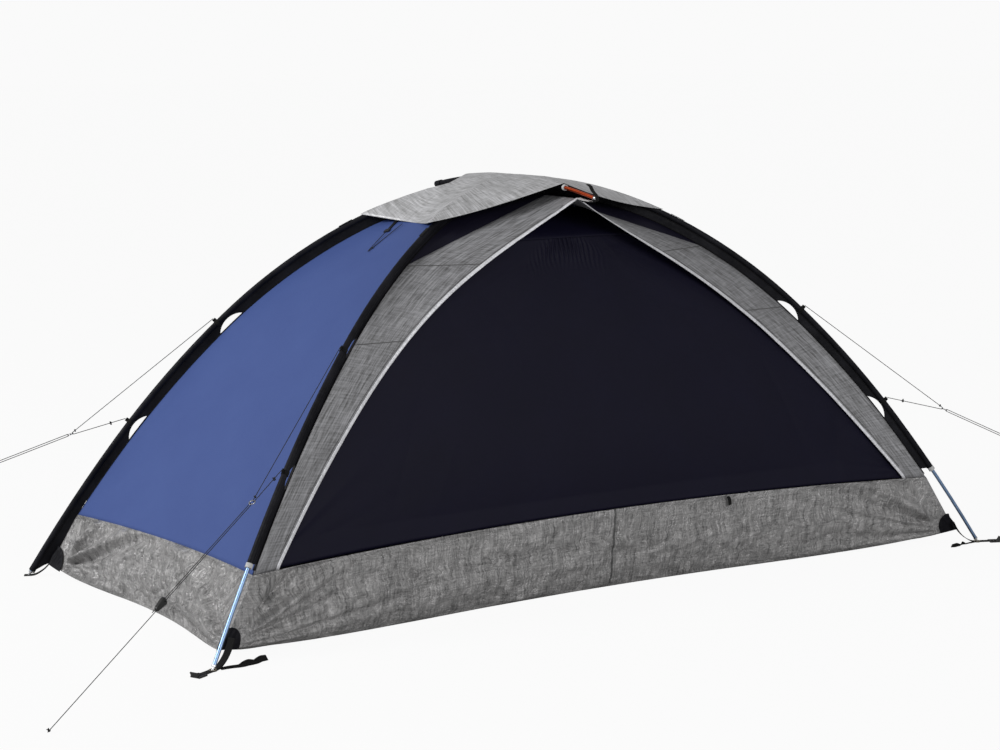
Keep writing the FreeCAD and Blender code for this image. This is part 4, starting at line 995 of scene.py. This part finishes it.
# u and the distance from the leg's plane, on the ground, by the side that the tail lies on
TAIL_ROUTES = {
    1: [
        (1.248, 0.005), (1.237, 0.010), (1.226, 0.016), (1.214, 0.025), (1.204, 0.034),
        (1.188, 0.040), (1.168, 0.043), (1.150, 0.043), (1.134, 0.046),
    ],
    -1: [
        (1.256, 0.005), (1.242, 0.015), (1.228, 0.024), (1.214, 0.038), (1.204, 0.050),
        (1.192, 0.058), (1.176, 0.060),
    ],
}


def corner_patch(corner, rows=26, half=24):
    """A black cup of gathered cloth sewn over the tub's corner."""
    sx, sy = CORNERS[corner]
    grid = []
    for share in np.linspace(0, 1, rows):
        reach, rise = PATCH_REACH * math.sqrt(1.03 - share**2), 0.30 * share
        t = np.linspace(1 - reach, 1, half)
        side = mix(side_foot(t), side_seam(t), rise)
        t = np.linspace(-1, -1 + 2 * reach, half)[1:]
        grid.append(np.concatenate([side, mix(end_foot(t), end_seam(t), rise) * [-1, 1, 1]]))
    grid = np.array(grid) + [0.0065, -0.004, 0]
    u, v = flat_lengths(grid)
    pleats = np.sin(2 * math.pi * u / 0.0115 + 9 * soft_noise(u, v, 0.05, 800)) * np.clip(v / 0.02, 0, 1)
    grid = pushed(grid, 0.0013 * pleats, 0.010, "tlr") * [sx, -sy, 1]
    return cloth(f"patch_{corner}", grid, BLACK_CLOTH)


def smooth_path(route, count=60):
    """A path of many points through a few, rounded at each."""
    route = np.asarray(route, float)
    at = np.linspace(0, len(route) - 1, count)
    path = np.stack([np.interp(at, range(len(route)), column) for column in route.T], -1)
    for _ in range(count // 6):
        path[1:-1] = (path[:-2] + path[1:-1] * 2 + path[2:]) / 4
    return path


def corner_strap(leg, front):
    """The strap from the tub's corner out to the pole's tip, and in front on to the buckle."""
    path = smooth_path([leg.place(u, z) for u, z in STRAP_ROUTE[: None if front else -1]], 40)
    return ribbon("strap", path, np.cross(np.gradient(path, axis=0), leg.side), STRAP_W, STRAP_T, BLACK_WEB)


def strap_tail(leg, facing):
    """The loose end of the adjusting strap, twisting as it lies on the ground."""
    path = smooth_path([leg.place(u, 0.0, facing * b) for u, b in TAIL_ROUTES[facing]])
    aside = unit(np.cross(unit(np.gradient(path, axis=0)), UP))
    share = np.linspace(0, 1, len(path))
    twist = np.interp(share, (0, 0.42, 0.6, 0.74, 0.86, 1), (0.1, 0.2, 1.15, 0.5, 1.1, 0.8))
    normals = UP * np.cos(twist)[:, None] + aside * np.sin(twist)[:, None]
    path[:, 2] = 0.0016 + 0.0070 * np.sin(twist)
    return ribbon("tail", path, normals, TAIL_W, TAIL_T, BLACK_WEB)


FRONT = ("front_left", "front_right")
whole_cloth("corner_patches", [corner_patch(c) for c in CORNERS], "black_fabric", 0.0012)
straps = joined("corner_straps_webbing", [corner_strap(LEGS[c], c in FRONT) for c in CORNERS])
finished(straps, "black_webbing", "corner_straps")
tails = joined("strap_tails_webbing", [strap_tail(LEGS[c], 1 if c == "front_left" else -1) for c in FRONT])
finished(tails, "black_webbing", "strap_tails")

# ---- vent tie cord, tie tab on the tub, strip at the awning's tip ----
WALL_OUT = np.array([-0.5, 0, 0.87])


def over_end_wall(y, z, lift):
    return end_wall_point(SEAM.s_at_height(z, SEAM_GAP), y / seam_at(z)[1]) + WALL_OUT * (0.001 + lift)


VENT_LIFT = 0.0046
VENT_POINTS = ((0.030, 0.899), (0.015, 0.836), (0.046, 0.877))
vent_top, vent_end, vent_back = (over_end_wall(y, z, VENT_LIFT) for y, z in VENT_POINTS)
loop_side = unit(vent_top - vent_back) * 0.0026
vent_route = [vent_top, mix(vent_top, vent_end, 0.5), vent_end + loop_side, vent_end - loop_side, vent_back]
vent_cord = cord_object("vent_tie_cord", vent_route)
vent_knot = knot("vent_tie_knot", mix(vent_end, vent_top, 0.12), 0.007, vent_top - vent_end)
declare_cord(vent_cord, vent_top)

tab_start = side_seam(np.array(0.366)) + np.array([0, -0.002, -0.004])
tab_path = smooth_path([tab_start, tab_start + [0, -0.006, -0.008], tab_start + [0.004, -0.003, -0.022]], 16)
tab = ribbon("door_tie_tab_webbing", tab_path, np.tile([0.0, -1.0, 0.2], (16, 1)), 0.010, 0.002, BLACK_WEB)
finished(tab, "black_webbing", "door_tie_tab")

tip_route = smooth_path([(0, -0.299, 0.9728), (0, -0.322, 0.9690), (0, -0.352, 0.9680)], 16)
tip_up = np.tile([0.0, -0.2, 1.0], (16, 1))
white_tip = ribbon("awning_tip_webbing", tip_route, tip_up, 0.014, 0.0016, WHITE_WEB)
finished(white_tip, "white_webbing")


# ---- roof cap ----
def cap_corner(index):
    if index % 3 == 2:
        y = RIDGE_SLEEVE if index == 2 else -RIDGE_SLEEVE
        return np.array([0, y, ridge_z(y) + CAP_LIFT])
    sx, sy = ((1, -1), (1, 1), None, (-1, 1), (-1, -1))[index]
    p = SEAM.at(SEAM.s_at_height(CAP_Z))
    return np.array([sx * p[0], -sy * p[1], p[2] + CAP_LIFT + POLE_STEP / 2])


def cap_spoke(index, share):
    corner = cap_corner(index)
    flat = np.array([corner[0], corner[1], 0]) * share
    if index % 3 == 2:
        z = ridge_z(flat[1]) + CAP_LIFT
    else:
        rise = RIDGE_Z - (CROWN + POLE_STEP / 2)
        s = min(np.hypot(*flat[:2]) * 1.03, SEAM.length)
        z = SEAM.at(s)[2] + CAP_LIFT + POLE_STEP / 2 + rise * (1 - share) ** 2
    return np.array([flat[0], flat[1], z])


def roof_cap():
    rings, count, steps = [], 44, 40
    for share in np.linspace(0.004, 1, count):
        ring = []
        for index in range(6):
            a, b = cap_spoke(index, share), cap_spoke((index + 1) % 6, share)
            end_side = index in (0, 3)
            bow, sag = ((0.17, 0.014) if end_side else (0.06, 0.007))
            for step in range(steps):
                part = step / steps
                swell = 4 * part * (1 - part)
                p = mix(a, b, part)
                flat = 1 - bow * share * swell
                ring.append([p[0] * flat, p[1] * flat, p[2] - sag * share * swell])
        rings.append(ring + ring[:1])
    grid = np.array(rings)
    x, y = grid[..., 0], grid[..., 1]
    height = 0.0022 * soft_noise(x, y, 0.13, 600) + creases(x, y, 601, 26, 0.14, 0.0012, 0.008)
    for index in (0, 1, 3, 4):
        height += fan(x, y, cap_corner(index)[:2], 30, 0.12, 0.0022, 610 + index)
    room = np.clip((1 - np.linspace(0, 1, count)) / 0.03, 0, 1)[:, None]
    grid[..., 2] += height * room
    return grid


CAP_CUT = (0.76, 0.50)
# The cap's lighter laminate is painted sunlight.
cap = panel("roof_cap", roof_cap(), CAP_LAMINATE_PAINTED_LIT, "grey_fabric")
cap_uv = cap.data.uv_layers[0].data
for loop in cap.data.loops:
    cap_uv[loop.index].uv = cap.data.vertices[loop.vertex_index].co.xy
declare(cap, CAP_CUT)

# ---- floor ----
floor_points = [side_foot(t) for t in np.linspace(-1, 1, 70)]
floor_points += [end_foot(t) for t in np.linspace(-1, 1, 45)[1:-1]]
floor_points += [p * [-1, -1, 1] for p in floor_points]
outline = sorted(floor_points, key=lambda p: math.atan2(p[1], p[0]))
rings = []
for share in np.linspace(0.02, 0.997, 40):
    rings.append([[p[0] * share, p[1] * share, 0.0008 + p[2] * share**12] for p in outline + outline[:1]])
floor_grid = np.array(rings)
floor_height = 0.0004 * soft_noise(floor_grid[..., 0], floor_grid[..., 1], 0.15, 700)
floor_grid[..., 2] += np.abs(floor_height)
floor_cloth = panel("floor", floor_grid, GREY_TUB, "grey_fabric", 0.0004)
declare(floor_cloth, (2 * FLOOR_X, 2 * FLOOR_Y))

# ---- stage and light: the camera sees an even, bright ground and background ----
stage = Look("stage", grey(0.45), 0.95)
sides = 60
corners = [(-sides, -sides, 0), (sides, -sides, 0), (sides, sides, 0), (-sides, sides, 0)]
ground = mesh_object("stage_floor", corners, [(0, 1, 2, 3)], stage.material)
bpy.context.scene.collection.objects.link(ground)
seen = stage.math("MULTIPLY", add_node(stage.tree, "LightPath", {}, "Is Camera Ray"), 0.94)
glow = add_node(stage.tree, "Emission", {"Color": (1, 1, 1, 1), "Strength": 1.003})
shown = add_node(stage.tree, "MixShader", {"Fac": seen, 1: stage.surface.outputs["BSDF"], 2: glow})
fill(stage.tree, stage.tree.nodes["Material Output"], {"Surface": shown})

world = bpy.data.worlds.new("world")
bpy.context.scene.world = world
world.use_nodes = True
sky = world.node_tree
light = sky.nodes["Background"]
fill(sky, light, {"Color": (1, 1, 1, 1), "Strength": 0.34})
plain = add_node(sky, "Background", {"Color": (*grey(0.955), 1)})
seen = add_node(sky, "LightPath", {}, "Is Camera Ray")
shown = add_node(sky, "MixShader", {"Fac": seen, 1: light.outputs["Background"], 2: plain})
fill(sky, sky.nodes["World Output"], {"Surface": shown})


def area_light(name, where, target, size, power):
    light = bpy.data.lights.new(name, "AREA")
    light.shape = "DISK"
    light.size = size
    light.energy = power
    obj = bpy.data.objects.new(name, light)
    bpy.context.scene.collection.objects.link(obj)
    obj.location = where
    obj.rotation_mode = "QUATERNION"
    obj.rotation_quaternion = (Vector(target) - Vector(where)).to_track_quat("-Z", "Y")


area_light("key", (-5.5, 1.0, 3.6), (0, 0, 0.4), 2.0, 240)
area_light("fill", (0.2, -6.0, 2.6), (0, 0, 0.4), 3.0, 116)
bpy.context.scene.view_settings.view_transform = "Standard"
